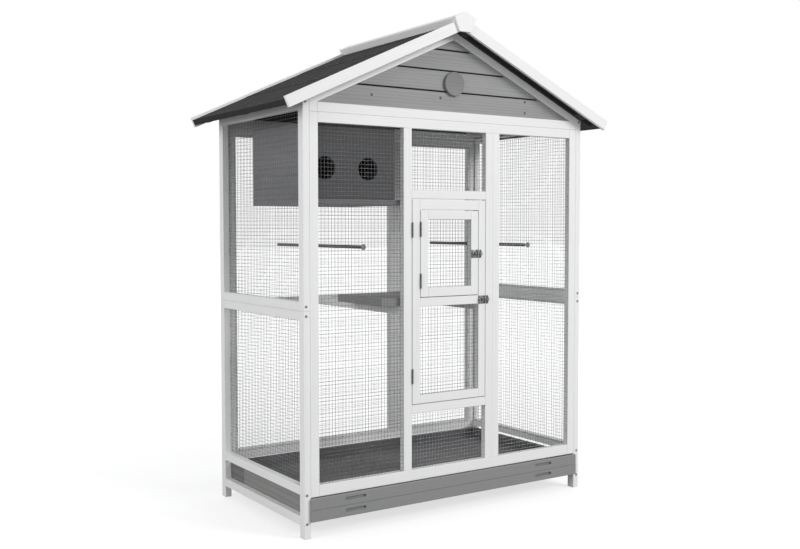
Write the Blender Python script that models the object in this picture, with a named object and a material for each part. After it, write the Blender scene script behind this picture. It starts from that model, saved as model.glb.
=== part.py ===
"""A wooden aviary: stacked mesh panels under a gabled felt roof, a main door with a
small door inside it, slide bolts, two pull-out trays, a nest box, perches and a platform.

Metres. +Z is up, the front faces -Y, and the origin is on the ground under the middle.
"""

from math import atan, cos, pi, radians, sin

import bmesh
import bpy
from mathutils import Matrix, Vector

# Body: the outer faces of the side panels and of the front and rear frames.
BODY_WIDTH = 1.208
BODY_DEPTH = 0.658
TIMBER = 0.024
SEAM = 0.0003
HALF_W = BODY_WIDTH / 2
INNER_W = HALF_W - TIMBER
FRAME_W = INNER_W - SEAM
FRONT = -BODY_DEPTH / 2
REAR = BODY_DEPTH / 2
FRONT_INNER = FRONT + TIMBER
REAR_INNER = REAR - TIMBER

# Driving heights: the foot of the frames, the storey line and the top of the walls.
FRAME_FOOT = 0.1358
STOREY = 0.745
FRAME_TOP = 1.388

# Rails of the front frame.
BOTTOM_RAIL = 0.0378
SILL_RISE = 0.1954
SILL_RAIL = 0.0306
HEADER_RISE = 0.3695
HEADER_RAIL = 0.0301
TOP_RAIL = 0.0335
BOTTOM_RAIL_TOP = FRAME_FOOT + BOTTOM_RAIL
SILL = (BOTTOM_RAIL_TOP + SILL_RISE, BOTTOM_RAIL_TOP + SILL_RISE + SILL_RAIL)
HEADER = (STOREY + HEADER_RISE, STOREY + HEADER_RISE + HEADER_RAIL)
TOP_RAIL_FOOT = FRAME_TOP - TOP_RAIL

# Uprights of the front frame.
END_STILE_WIDTH = 0.0317
END_STILE = FRAME_W - END_STILE_WIDTH
MID_STILE = (-0.215, -0.182)
LATCH_STILES = (0.1414, 0.204)

# Side panels: a lower and an upper frame, stacked.
SIDE_STILE = 0.032
SIDE_RAIL = 0.030
SIDE_FOOT_RAIL = 0.042
SIDE_TRAY_RISE = 0.0062
SIDE_TOP_RISE = 0.007
SIDE_TRAY_RAIL = FRAME_FOOT + SIDE_TRAY_RISE
SIDE_TOP_RAIL = FRAME_TOP + SIDE_TOP_RISE

# Rear frame.
REAR_RAIL = 0.0325
REAR_MID_RAIL = (STOREY - REAR_RAIL, STOREY)

# Wire mesh: a coarse grid holds the place of the fine one. Counts are (columns, rows).
NET_THICK = 0.0015
NET_BAR = 0.004
NET_SET_BACK = 0.0035
NET_LAP = 0.007
BAY_COUNTS = (3, 12)
SHORT_COUNTS = (3, 2)
MAIN_DOOR_COUNTS = (2, 3)
SMALL_DOOR_COUNTS = (2, 2)
SIDE_COUNTS = (5, 5)
REAR_COUNTS = ((8, 5), (8, 6))

# Roof. Heights named RIDGE_ are those of a slope's line where it meets x = 0.
SLOPE = 0.4577
GABLE_SHOULDER = 0.04607
RAFTER_DEPTH = 0.0276
ROOF_BUILD = 0.0302
BARGE_ABOVE = 0.0100
BARGE_BELOW = 0.0311
EAVE_OVERHANG = 0.086
BARGE_OVERHANG = 0.004
GABLE_OVERHANG = 0.0554
BARGE_THICK = 0.012
FELT_THICK = 0.002
ROOF_BOARD = 0.009
ROOF_BOARD_START = 0.0055
BATTEN_START = 0.016
RIDGE_BATTEN = 0.040
EAVE_BATTEN = 0.0087
EAVE_BATTEN_WIDTH = 0.030
WALL_BATTEN = 0.040
END_BATTEN = 0.011
RAFTER_WIDTH = 0.036
CAP_RISE = 0.0274
CAP_HALF = 0.047
KEYSTONE_THICK = 0.0086
KEYSTONE_RISE = 0.0025
KEYSTONE_SHOULDER_DROP = 0.019
KEYSTONE_FOOT_HALF = 0.0245
KEYSTONE_FOOT_DROP = 0.0403
RIDGE_GABLE = FRAME_TOP + GABLE_SHOULDER + SLOPE * FRAME_W
RIDGE_GABLE_INNER = RIDGE_GABLE - RAFTER_DEPTH
RIDGE_FELT = RIDGE_GABLE + ROOF_BUILD
RIDGE_BARGE_TOP = RIDGE_FELT + BARGE_ABOVE
RIDGE_BARGE_FOOT = RIDGE_FELT - BARGE_BELOW
EAVE_X = HALF_W + EAVE_OVERHANG
BARGE_TOP_X = EAVE_X + BARGE_OVERHANG
BARGE_FACE = REAR + GABLE_OVERHANG
ROOF_END = BARGE_FACE - BARGE_THICK - SEAM
CAP_APEX = RIDGE_FELT + CAP_RISE
KEYSTONE_FACE = BARGE_FACE + KEYSTONE_THICK
KEYSTONE_APEX = CAP_APEX + KEYSTONE_RISE
KEYSTONE_SHOULDER = CAP_APEX - KEYSTONE_SHOULDER_DROP
KEYSTONE_FOOT = RIDGE_FELT - KEYSTONE_FOOT_DROP

# Gable.
GABLE_RAIL = 0.032
GABLE_SET_BACK = 0.008
GABLE_BOARD = 0.012
GABLE_GROOVE = (0.005, 0.003)
GABLE_STEPS = (0.0695, 0.1425, 0.214)
DISC_RADIUS = 0.042
DISC_RISE = 0.0985
DISC_PROUD = 0.010
GABLE_RAIL_TOP = FRAME_TOP + GABLE_RAIL
DISC_Z = GABLE_RAIL_TOP + DISC_RISE

# Main door and the small door inside it: gaps are the width round a closed door.
DOOR_GAP = 0.0025
HINGE_GAP = 0.003
MAIN_HANGING_STILE = 0.0345
MAIN_CLOSING_STILE = 0.0323
MAIN_FOOT_RAIL = 0.0333
MAIN_MID_RAIL = (-0.0042, 0.0262)
MAIN_HEAD_RAIL = 0.038
SMALL_STILES = (0.0349, 0.0337)
SMALL_RAILS = (0.0354, 0.0333)
MAIN_STILE_INNER = (MID_STILE[1] + MAIN_HANGING_STILE, LATCH_STILES[0] - MAIN_CLOSING_STILE)
MAIN_RAILS = (SILL[1] + MAIN_FOOT_RAIL, STOREY + MAIN_MID_RAIL[0],
              STOREY + MAIN_MID_RAIL[1], HEADER[0] - MAIN_HEAD_RAIL)
SMALL_OPENING_X = (MAIN_STILE_INNER[0] + SMALL_STILES[0], MAIN_STILE_INNER[1] - SMALL_STILES[1])
SMALL_OPENING_Z = (MAIN_RAILS[2] + SMALL_RAILS[0], MAIN_RAILS[3] - SMALL_RAILS[1])

# Butt hinges.
KNUCKLE = 0.0032
KNUCKLE_CLEAR = 0.0006
HINGE_PIN = 0.0011
PIN_PLAY = 0.0003
PIN_SHORT = 0.005
HINGE_PROUD = 0.0035
HINGE_HEIGHT = 0.050
HINGE_LEAF = 0.001
LEAF_DEPTH = 0.020
LEAF_ROOTS = (0.0012, 0.0016)
MAIN_HINGE_INSETS = (0.1004, 0.1079)
SMALL_HINGE_INSETS = (0.0588, 0.0677)
HINGE_AXIS_Y = FRONT - HINGE_PROUD
MAIN_HINGES = (SILL[1] + MAIN_HINGE_INSETS[0], HEADER[0] - MAIN_HINGE_INSETS[1])
SMALL_HINGES = (MAIN_RAILS[2] + SMALL_HINGE_INSETS[0], MAIN_RAILS[3] - SMALL_HINGE_INSETS[1])

# Slide bolts, measured from the edge of the door that they close.
BOLT_PLATE = (-0.0320, -0.0008)
BOLT_PLATE_THICK = 0.001
BOLT_HEIGHT = 0.030
BOLT_PROUD = 0.0052
BARREL = 0.0040
BARREL_INSET = 0.0005
BARREL_WEB = 0.0032
ROD = 0.0024
ROD_INSETS = (0.0012, 0.0006)
KNOB = 0.0023
KNOB_AT = -0.0245
KNOB_REACH = 0.0105
BOLT_TRAVEL = 0.013
STRIKE = (0.0010, 0.0155)
STRIKE_NOSE = 0.006
STRIKE_LOOP = (0.0006, 0.0096)
SMALL_BOLT_RISE = 0.1496
MAIN_BOLT_RISE = 0.0097
BOLT_AXIS_Y = FRONT - BOLT_PROUD
SMALL_BOLT_Z = MAIN_RAILS[2] + SMALL_BOLT_RISE
MAIN_BOLT_Z = STOREY + MAIN_BOLT_RISE

# Trays and the runners that carry them.
TRAY_LOW = 0.056
TRAY_SEAM = 0.094
TRAY_PROUD = 0.010
TRAY_LAP = 0.003
TRAY_TOP_GAP = 0.003
TRAY_JOINT = 0.004
TRAY_WALL = 0.0025
TRAY_SHORT = 0.025
TRAY_SIDE_GAP = 0.004
SLOT_INSET = 0.189
SLOT_LENGTH = 0.082
SLOT_HEIGHT = 0.010
SLOT_DEPTH = 0.0075
SLOT_END_FACETS = 10
SLOT_RISES = (0.0215, 0.022)
PAN_DROPS = (0.0135, 0.0058)
PAN_REAR_DROPS = (0.0135, 0.0006)
RUNNER_SHORT = 0.012
RUNNER_WEB = 0.003
RUNNER_REACH = 0.022
RUNNER_PLAY = 0.002
SLOT_X = HALF_W - SLOT_INSET
TRAY_DEPTH = BODY_DEPTH - TRAY_SHORT
TRAY_HALF = FRAME_W - TRAY_SIDE_GAP
LOWER_SLOT_Z = TRAY_LOW + SLOT_RISES[0]
UPPER_SLOT_Z = TRAY_SEAM + SLOT_RISES[1]
LOWER_PAN_TOP = TRAY_SEAM - PAN_DROPS[0]
UPPER_PAN_TOP = FRAME_FOOT - PAN_DROPS[1]

# What the cage holds. ROOM is the half width left between the side nets. The perches hang
# just under one bar of the bay nets, counted from the foot.
NET_ROOM = 0.0022
ROOM = INNER_W - NET_ROOM
REAR_ROOM = REAR_INNER - NET_ROOM
BAY_PITCH = (TOP_RAIL_FOOT - BOTTOM_RAIL_TOP - 2 * SEAM - NET_BAR) / BAY_COUNTS[1]
PERCH_X = (-0.374, 0.346)
PERCH_BAR_COUNT = 8
PERCH_UNDER_BAR = 0.0101
PERCH_RADIUS = 0.006
PERCH_SCREW = 0.0025
PERCH_SCREW_DEPTH = 0.010
PERCH_WASHER = (0.010, 0.0012)
PERCH_BAR_Z = BOTTOM_RAIL_TOP + SEAM + NET_BAR / 2 + PERCH_BAR_COUNT * BAY_PITCH
PERCH_Z = PERCH_BAR_Z - PERCH_UNDER_BAR
BEARER_DEPTH = 0.0302
BEARER_WIDTH = 0.032
BEARER_EDGES = (0.0005, 0.0001)
PLATFORM_ENDS = (0.075, 0.0486)
PLATFORM_DEPTH = 0.2987
PLATFORM_THICK = 0.027
BEARERS = (MID_STILE[0] + BEARER_EDGES[0], LATCH_STILES[0] + BEARER_EDGES[1])
BEARER_TOP = STOREY - SEAM
NEST_WIDTH = 0.3421
NEST_DEPTH = 0.4
NEST_DROP = 0.027
NEST_HEIGHT = 0.2694
NEST_FLOOR_THICK = 0.0177
NEST_WALL = 0.012
NEST_PARTITION_AT = 0.1518
NEST_HOLES_AT = (0.0693, 0.2344)
NEST_HOLE_DROP = 0.151
NEST_HOLE_RADIUS = 0.038
NEST_TOP = FRAME_TOP - NEST_DROP
NEST_FLOOR = (NEST_TOP - NEST_HEIGHT, NEST_TOP - NEST_HEIGHT + NEST_FLOOR_THICK)
NEST_RIGHT = -ROOM + NEST_WIDTH
NEST_BACK = FRONT_INNER + NEST_DEPTH
NEST_HOLE_Z = NEST_TOP - NEST_HOLE_DROP

# How far cutters run past what they cut: a little for slots and bores, well past for gaps.
CUT_PAST = 0.002
WELL_PAST = 1.0

ANGLE = atan(SLOPE)
LEFT = -1
RIGHT = 1


def clear_scene():
    for old in list(bpy.data.objects):
        bpy.data.objects.remove(old, do_unlink=True)


def paint(name, grey, roughness, metallic=0.0):
    """A Principled material of one neutral or slightly toned colour."""
    material = bpy.data.materials.new(name)
    material.use_nodes = True
    surface = material.node_tree.nodes["Principled BSDF"]
    surface.inputs["Base Color"].default_value = (*grey, 1.0)
    surface.inputs["Roughness"].default_value = roughness
    surface.inputs["Metallic"].default_value = metallic
    material.diffuse_color = (*grey, 1.0)
    return material


def make_materials():
    return {
        "white_timber": paint("white_timber", (0.78, 0.78, 0.77), 0.55),
        "grey_timber": paint("grey_timber", (0.20, 0.20, 0.205), 0.6),
        "nest_timber": paint("nest_timber", (0.17, 0.17, 0.175), 0.65),
        "perch_timber": paint("perch_timber", (0.10, 0.09, 0.085), 0.6),
        "dark_batten": paint("dark_batten", (0.03, 0.03, 0.03), 0.8),
        "felt": paint("felt", (0.055, 0.055, 0.058), 0.95),
        "wire": paint("wire", (0.32, 0.33, 0.34), 0.4, 0.9),
        "black_steel": paint("black_steel", (0.035, 0.035, 0.04), 0.4, 0.8),
        "zinc_steel": paint("zinc_steel", (0.42, 0.42, 0.43), 0.35, 0.9),
    }


MATERIALS = {}


def add(name, bm, material, origin=(0.0, 0.0, 0.0)):
    """One object from a bmesh in world coordinates, with its own origin and material."""
    bmesh.ops.remove_doubles(bm, verts=bm.verts, dist=1e-6)
    bmesh.ops.recalc_face_normals(bm, faces=bm.faces)
    bmesh.ops.translate(bm, verts=bm.verts, vec=-Vector(origin))
    mesh = bpy.data.meshes.new(name)
    bm.to_mesh(mesh)
    bm.free()
    obj = bpy.data.objects.new(name, mesh)
    obj.location = origin
    obj.data.materials.append(MATERIALS[material])
    bpy.context.scene.collection.objects.link(obj)
    return obj


def inside(point, boxes):
    """Tells whether a point lies in one of the boxes."""
    return any(all(a < p < b for p, a, b in zip(point, low, high)) for low, high in boxes)


def grid_lines(boxes, axis):
    """Every coordinate at which one of the boxes begins or ends, in order."""
    return sorted({round(end[axis], 7) for box in boxes for end in box})


def blocks(solid, hollow=()):
    """A bmesh of boxes joined to one skin, less the hollow boxes.

    The space is cut where any box begins or ends, and a face is laid wherever a
    filled cell meets an empty one.
    """
    solid = [tuple(map(tuple, b)) for b in solid]
    hollow = [tuple(map(tuple, b)) for b in hollow]
    lines = [grid_lines(solid + hollow, axis) for axis in range(3)]
    counts = [len(line) - 1 for line in lines]
    filled = set()
    for i in range(counts[0]):
        for j in range(counts[1]):
            for k in range(counts[2]):
                cell = (i, j, k)
                middle = [(lines[a][c] + lines[a][c + 1]) / 2 for a, c in enumerate(cell)]
                if inside(middle, solid) and not inside(middle, hollow):
                    filled.add(cell)
    bm = bmesh.new()
    made = {}
    for cell in sorted(filled):
        lay_faces(bm, made, lines, filled, cell)
    flatten(bm)
    return bm


def lay_faces(bm, made, lines, filled, cell):
    """The faces between this filled cell and the empty cells round it."""
    for axis in range(3):
        for side in (0, 1):
            beside = list(cell)
            beside[axis] += 2 * side - 1
            if tuple(beside) in filled:
                continue
            u, v = [a for a in range(3) if a != axis]
            corners = []
            for du, dv in ((0, 0), (1, 0), (1, 1), (0, 1)):
                at = list(cell)
                at[axis] += side
                at[u] += du
                at[v] += dv
                key = tuple(at)
                if key not in made:
                    made[key] = bm.verts.new([lines[a][key[a]] for a in range(3)])
                corners.append(made[key])
            bm.faces.new(corners)


def flatten(bm):
    """Joins faces that lie in one plane."""
    bmesh.ops.recalc_face_normals(bm, faces=bm.faces)
    bmesh.ops.dissolve_limit(bm, angle_limit=radians(0.05), verts=bm.verts, edges=bm.edges)


def plate(faces, y_low, y_high):
    """A bmesh of flat faces, given as (x, z) loops, thickened along Y."""
    bm = bmesh.new()
    made = {}

    def vert(point, y):
        key = (round(point[0], 7), round(point[1], 7), y)
        if key not in made:
            made[key] = bm.verts.new((point[0], y, point[1]))
        return made[key]

    edges = {}
    for loop in faces:
        bm.faces.new([vert(p, y_low) for p in loop])
        bm.faces.new([vert(p, y_high) for p in reversed(loop)])
        for a, b in zip(loop, list(loop[1:]) + [loop[0]]):
            ends = frozenset({vert(a, y_low), vert(b, y_low)})
            edges.setdefault(ends, []).append((a, b))
    for shared in edges.values():
        if len(shared) == 1:
            a, b = shared[0]
            bm.faces.new([vert(b, y_low), vert(a, y_low), vert(a, y_high), vert(b, y_high)])
    return bm


def cylinder(radius, start, end, sides=24):
    """A bmesh of a round bar from start to end."""
    bm = bmesh.new()
    start, end = Vector(start), Vector(end)
    along = end - start
    turn = along.to_track_quat("Z", "Y").to_matrix().to_4x4()
    place = Matrix.Translation((start + end) / 2) @ turn
    bmesh.ops.create_cone(
        bm, cap_ends=True, segments=sides, radius1=radius, radius2=radius,
        depth=along.length, matrix=place,
    )
    return bm


def box(low, high):
    """A bmesh of one box."""
    return blocks([(low, high)])


def boolean(obj, operation, name, bm):
    """Adds a Boolean with a helper made from the bmesh."""
    helper = add(f"{obj.name}_{name}", bm, "white_timber")
    helper.hide_render = True
    helper.display_type = "WIRE"
    step = obj.modifiers.new(name, "BOOLEAN")
    step.operation = operation
    step.solver = "EXACT"
    step.object = helper


def join(obj, name, bm):
    boolean(obj, "UNION", name, bm)


def cut(obj, name, bm):
    boolean(obj, "DIFFERENCE", name, bm)


def smooth(obj):
    obj.data.shade_smooth()
    obj.data.set_sharp_from_angle(angle=radians(35))


def slope_z(ridge, x):
    """Height at x of the roof line that meets x = 0 at ridge."""
    return ridge - SLOPE * abs(x)


def make_side_panels():
    """Four frames: a lower one with the legs and an upper one with a bevelled top."""
    for label, side in (("left", LEFT), ("right", RIGHT)):
        x = sorted((side * INNER_W, side * HALF_W))
        lower_top = STOREY - SEAM / 2
        upper_foot = STOREY + SEAM / 2
        lower_gaps = ((-WELL_PAST, SIDE_FOOT_RAIL),
                      (SIDE_FOOT_RAIL + SIDE_RAIL, SIDE_TRAY_RAIL),
                      (SIDE_TRAY_RAIL + SIDE_RAIL, lower_top - SIDE_RAIL))
        side_panel(f"side_{label}_lower_frame", x, (0.0, lower_top), lower_gaps)
        upper_gaps = ((upper_foot + SIDE_RAIL, SIDE_TOP_RAIL),)
        rough_top = SIDE_TOP_RAIL + SIDE_RAIL
        upper = side_panel(f"side_{label}_upper_frame", x, (upper_foot, rough_top), upper_gaps)
        for vertex in upper.data.vertices:
            if vertex.co.z > SIDE_TOP_RAIL + SEAM:
                vertex.co.z = slope_z(RIDGE_GABLE - SEAM, vertex.co.x)


def side_panel(name, x, z, gaps):
    """An upright frame in the plane of a side wall, less the gaps between its rails."""
    inner = (FRONT + SIDE_STILE, REAR - SIDE_STILE)
    whole = ((x[0], FRONT, z[0]), (x[1], REAR, z[1]))
    reach = (x[0] - WELL_PAST, x[1] + WELL_PAST)
    holes = [((reach[0], inner[0], low), (reach[1], inner[1], high)) for low, high in gaps]
    return add(name, blocks([whole], holes), "white_timber")


def upright_frame(name, outer, y, gaps):
    """A frame in the plane of the front or rear wall. Gaps are (x0, x1, z0, z1)."""
    (x0, x1), (z0, z1) = outer
    whole = ((x0, y[0], z0), (x1, y[1], z1))
    reach = (y[0] - WELL_PAST, y[1] + WELL_PAST)
    holes = [((a, reach[0], c), (b, reach[1], d)) for a, b, c, d in gaps]
    return add(name, blocks([whole], holes), "white_timber")


def front_gaps():
    """The five openings of the front frame: left bay, over door, door, under door, right bay."""
    bay = (BOTTOM_RAIL_TOP, TOP_RAIL_FOOT)
    door = (MID_STILE[1], LATCH_STILES[0])
    return {
        "left_bay": (-END_STILE, MID_STILE[0], *bay),
        "over_door": (*door, HEADER[1], TOP_RAIL_FOOT),
        "doorway": (*door, SILL[1], HEADER[0]),
        "under_door": (*door, BOTTOM_RAIL_TOP, SILL[0]),
        "right_bay": (LATCH_STILES[1], END_STILE, *bay),
    }


def make_front_frame():
    outer = ((-FRAME_W, FRAME_W), (FRAME_FOOT, FRAME_TOP))
    upright_frame("front_frame", outer, (FRONT, FRONT_INNER), front_gaps().values())


def make_rear_frame():
    """Two bays each side of a double stile, a middle rail and an open slot behind the trays."""
    outer = ((-FRAME_W, FRAME_W), (SIDE_FOOT_RAIL, FRAME_TOP))
    storeys = ((BOTTOM_RAIL_TOP, REAR_MID_RAIL[0]), (REAR_MID_RAIL[1], TOP_RAIL_FOOT))
    bays = ((-END_STILE, LATCH_STILES[0]), (LATCH_STILES[1], END_STILE))
    gaps = [(*bay, *storey) for bay in bays for storey in storeys]
    gaps.append((-END_STILE, END_STILE, SIDE_FOOT_RAIL + SIDE_RAIL, FRAME_FOOT))
    upright_frame("rear_frame", outer, (REAR_INNER, REAR), gaps)


def net_grid(across, up, columns, rows):
    """The hollow (a0, a1, z0, z1) gaps of a grid whose bars are NET_BAR wide."""
    wide = (across[1] - across[0] - NET_BAR) / columns
    tall = (up[1] - up[0] - NET_BAR) / rows
    for i in range(columns):
        for k in range(rows):
            a = across[0] + NET_BAR + i * wide
            c = up[0] + NET_BAR + k * tall
            yield a, a + wide - NET_BAR, c, c + tall - NET_BAR


def facing_net(name, x, z, y, columns, rows, origin=(0.0, 0.0, 0.0)):
    """A net in the plane of the front or rear wall, its near face at y."""
    whole = ((x[0], y, z[0]), (x[1], y + NET_THICK, z[1]))
    gaps = net_grid(x, z, columns, rows)
    holes = [((a, y - WELL_PAST, c), (b, y + WELL_PAST, d)) for a, b, c, d in gaps]
    return add(name, blocks([whole], holes), "wire", origin)


def within(gap):
    """The x and z spans that fill an opening with the usual clearance."""
    a, b, c, d = gap
    return (a + SEAM, b - SEAM), (c + SEAM, d - SEAM)


def make_front_nets():
    gaps = front_gaps()
    grids = {"left_bay": BAY_COUNTS, "right_bay": BAY_COUNTS,
             "over_door": SHORT_COUNTS, "under_door": SHORT_COUNTS}
    for place, (columns, rows) in grids.items():
        x, z = within(gaps[place])
        facing_net(f"net_{place}", x, z, FRONT + NET_SET_BACK, columns, rows)


def make_rear_nets():
    """Two sheets on the inner face, lapping the rails and the double stile."""
    y = REAR_INNER - SEAM - NET_THICK
    x = (-END_STILE - NET_LAP, END_STILE + NET_LAP)
    spans = {
        "net_rear_lower": (BOTTOM_RAIL_TOP - NET_LAP, REAR_MID_RAIL[0] + NET_LAP, REAR_COUNTS[0]),
        "net_rear_upper": (REAR_MID_RAIL[1] - NET_LAP, TOP_RAIL_FOOT + NET_LAP, REAR_COUNTS[1]),
    }
    for name, (low, high, grid) in spans.items():
        facing_net(name, x, (low, high), y, *grid)


def make_side_nets():
    """One sheet on the inner face of each side frame."""
    y = (FRONT_INNER + SEAM, REAR_INNER - 2 * SEAM - NET_THICK)
    spans = {
        "lower": (SIDE_TRAY_RAIL + SIDE_RAIL - NET_LAP, STOREY - SIDE_RAIL + NET_LAP),
        "upper": (STOREY + SIDE_RAIL - NET_LAP, SIDE_TOP_RAIL + NET_LAP),
    }
    for label, side in (("left", LEFT), ("right", RIGHT)):
        x = sorted((side * (INNER_W - SEAM), side * (INNER_W - SEAM - NET_THICK)))
        for storey, z in spans.items():
            gaps = net_grid(y, z, *SIDE_COUNTS)
            whole = ((x[0], y[0], z[0]), (x[1], y[1], z[1]))
            holes = [((x[0] - WELL_PAST, a, c), (x[1] + WELL_PAST, b, d)) for a, b, c, d in gaps]
            add(f"net_{label}_{storey}", blocks([whole], holes), "wire")


def gable_opening():
    """The corners of the triangle that the boards fill, left, right and top."""
    x = (RIDGE_GABLE_INNER - GABLE_RAIL_TOP) / SLOPE
    return (-x, GABLE_RAIL_TOP), (x, GABLE_RAIL_TOP), (0.0, RIDGE_GABLE_INNER)


def make_gable_frame(label, y):
    """A base rail with two sloping rails that meet at the ridge."""
    left, right, top = gable_opening()
    foot = FRAME_TOP + SEAM
    shoulder = slope_z(RIDGE_GABLE, FRAME_W)
    a, b = (-FRAME_W, foot), (FRAME_W, foot)
    c, d, e = (FRAME_W, shoulder), (0.0, RIDGE_GABLE), (-FRAME_W, shoulder)
    faces = [(a, b, right, left), (b, c, right), (c, d, top, right), (d, e, left, top), (e, a, left)]
    add(f"gable_{label}_frame", plate(faces, *y), "white_timber")


def make_gable_boards(label, face, inward):
    """Four boards as one panel with a groove at each seam."""
    left, right, top = gable_opening()
    inset = SEAM / sin(ANGLE) + SEAM / SLOPE
    low = left[1] + SEAM
    peak = top[1] - SEAM / cos(ANGLE)
    corners = ((left[0] + inset, low), (right[0] - inset, low), (0.0, peak))
    back = face + inward * GABLE_BOARD
    y = sorted((face, back))
    panel = add(f"gable_{label}_boards", plate([corners], *y), "grey_timber")
    groove, depth = GABLE_GROOVE
    for number, step in enumerate(GABLE_STEPS, 1):
        z = GABLE_RAIL_TOP + step
        y = sorted((face - inward * CUT_PAST, face + inward * depth))
        cutter = box((-HALF_W, y[0], z - groove / 2), (HALF_W, y[1], z + groove / 2))
        cut(panel, f"groove_{number}", cutter)


def make_gables():
    make_gable_frame("front", (FRONT, FRONT_INNER))
    make_gable_frame("rear", (REAR_INNER, REAR))
    make_gable_boards("front", FRONT + GABLE_SET_BACK, 1)
    make_gable_boards("rear", REAR - GABLE_SET_BACK, -1)
    back = FRONT + GABLE_SET_BACK - SEAM
    disc = cylinder(DISC_RADIUS, (0, back - DISC_PROUD, DISC_Z), (0, back, DISC_Z), 48)
    smooth(add("gable_disc", disc, "grey_timber"))


def roof_matrix(side):
    """From slope coordinates (down the slope, along Y, out of the slope) to the world."""
    down = Vector((side * cos(ANGLE), 0, -sin(ANGLE)))
    out = Vector((side * sin(ANGLE), 0, cos(ANGLE)))
    turn = Matrix((down, Vector((0, 1, 0)), out)).transposed().to_4x4()
    return Matrix.Translation((0, 0, RIDGE_FELT)) @ turn


def slope_point(side, u, w):
    """World (x, z) of a point u down the slope and w out of the felt."""
    at = roof_matrix(side) @ Vector((u, 0, w))
    return at.x, at.z


def make_roof_boards():
    """Each slope: a board on battens, rafters over the gables and purlins over the walls."""
    top = -FELT_THICK - SEAM
    under = top - ROOF_BOARD
    foot = (RIDGE_GABLE + SEAM - RIDGE_FELT) * cos(ANGLE)
    eave = EAVE_X / cos(ANGLE) - FELT_THICK - SEAM
    eave_batten = eave - EAVE_BATTEN_WIDTH
    wall = (INNER_W + TIMBER / 2) / cos(ANGLE)
    solid = [((ROOF_BOARD_START, -ROOF_END, under), (eave, ROOF_END, top)),
             ((eave_batten, -ROOF_END, under - EAVE_BATTEN), (eave, ROOF_END, top)),
             ((wall - WALL_BATTEN / 2, -ROOF_END, foot), (wall + WALL_BATTEN / 2, ROOF_END, top)),
             ((BATTEN_START, -ROOF_END, foot), (BATTEN_START + RIDGE_BATTEN, ROOF_END, top))]
    for middle in (FRONT + TIMBER / 2, 0.0, REAR - TIMBER / 2):
        half = RAFTER_WIDTH / 2
        solid.append(((BATTEN_START, middle - half, foot), (eave_batten, middle + half, top)))
    for near, far in ((-ROOF_END, -ROOF_END + END_BATTEN), (ROOF_END - END_BATTEN, ROOF_END)):
        solid.append(((BATTEN_START, near, foot), (eave_batten, far, top)))
    for label, side in (("left", LEFT), ("right", RIGHT)):
        bm = blocks(solid)
        bm.transform(roof_matrix(side))
        add(f"roof_{label}_board", bm, "dark_batten")


def make_felt():
    """One sheet over both slopes, turned down over the eaves."""
    eave = EAVE_X / cos(ANGLE)
    lip = FELT_THICK + ROOF_BOARD + EAVE_BATTEN
    faces = []
    for side in (LEFT, RIGHT):
        top = (0.0, RIDGE_FELT)
        under = (0.0, RIDGE_FELT - FELT_THICK / cos(ANGLE))
        inner = slope_point(side, eave - FELT_THICK, -FELT_THICK)
        corner = slope_point(side, eave, 0.0)
        lip_out = slope_point(side, eave, -lip)
        lip_in = slope_point(side, eave - FELT_THICK, -lip)
        faces += [(under, inner, corner, top), (inner, lip_in, lip_out, corner)]
    add("roof_felt", plate(faces, -ROOF_END, ROOF_END), "felt")


def cap_side(side, clear=0.0):
    """The (x, z) ends of the ridge cap's edge face, from the top to the felt."""
    u = (CAP_HALF + clear) / cos(ANGLE)
    top = (slope_z(CAP_APEX, CAP_HALF) - slope_z(RIDGE_FELT, CAP_HALF)) * cos(ANGLE)
    shift = top * SLOPE
    return slope_point(side, u - shift, top), slope_point(side, u - shift, SEAM - clear)


def make_ridge_cap():
    """Two boards that meet over the ridge, as one piece."""
    faces = []
    for side in (LEFT, RIGHT):
        outer, foot = cap_side(side)
        under = (0.0, RIDGE_FELT + SEAM / cos(ANGLE))
        faces.append(((0.0, CAP_APEX), outer, foot, under))
    end = BARGE_FACE - SEAM
    add("ridge_cap", plate(faces, -end, end), "white_timber")


def make_barges():
    """Four sloping boards, cut round the ridge cap and square at the eaves."""
    for end, sign in (("front", -1), ("rear", 1)):
        y = sorted((sign * BARGE_FACE, sign * (BARGE_FACE - BARGE_THICK)))
        for label, side in (("left", LEFT), ("right", RIGHT)):
            top_w = (RIDGE_BARGE_TOP - RIDGE_FELT) * cos(ANGLE)
            foot_w = (RIDGE_BARGE_FOOT - RIDGE_FELT) * cos(ANGLE)
            tail_u = (BARGE_TOP_X - top_w * sin(ANGLE)) / cos(ANGLE)
            cap_foot = cap_side(side, SEAM)[1]
            cap_u = abs(cap_foot[0]) / cos(ANGLE)
            notch_top = slope_point(side, cap_u, top_w)
            notch_foot = slope_point(side, cap_u, 0.0)
            mitre = side * SEAM / 2
            loop = ((mitre, slope_z(RIDGE_BARGE_FOOT, mitre)),
                    slope_point(side, tail_u, foot_w),
                    slope_point(side, tail_u, top_w),
                    notch_top,
                    notch_foot,
                    (mitre, slope_z(RIDGE_FELT, mitre)))
            add(f"barge_{end}_{label}", plate([loop], *y), "white_timber")


def make_keystones():
    """The five-sided plates that cover the mitre of the barge boards."""
    loop = ((-KEYSTONE_FOOT_HALF, KEYSTONE_FOOT), (KEYSTONE_FOOT_HALF, KEYSTONE_FOOT),
            (CAP_HALF, KEYSTONE_SHOULDER), (0.0, KEYSTONE_APEX), (-CAP_HALF, KEYSTONE_SHOULDER))
    for label, sign in (("front", -1), ("rear", 1)):
        y = sorted((sign * (BARGE_FACE + SEAM), sign * KEYSTONE_FACE))
        add(f"keystone_{label}", plate([loop], *y), "white_timber")


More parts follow.
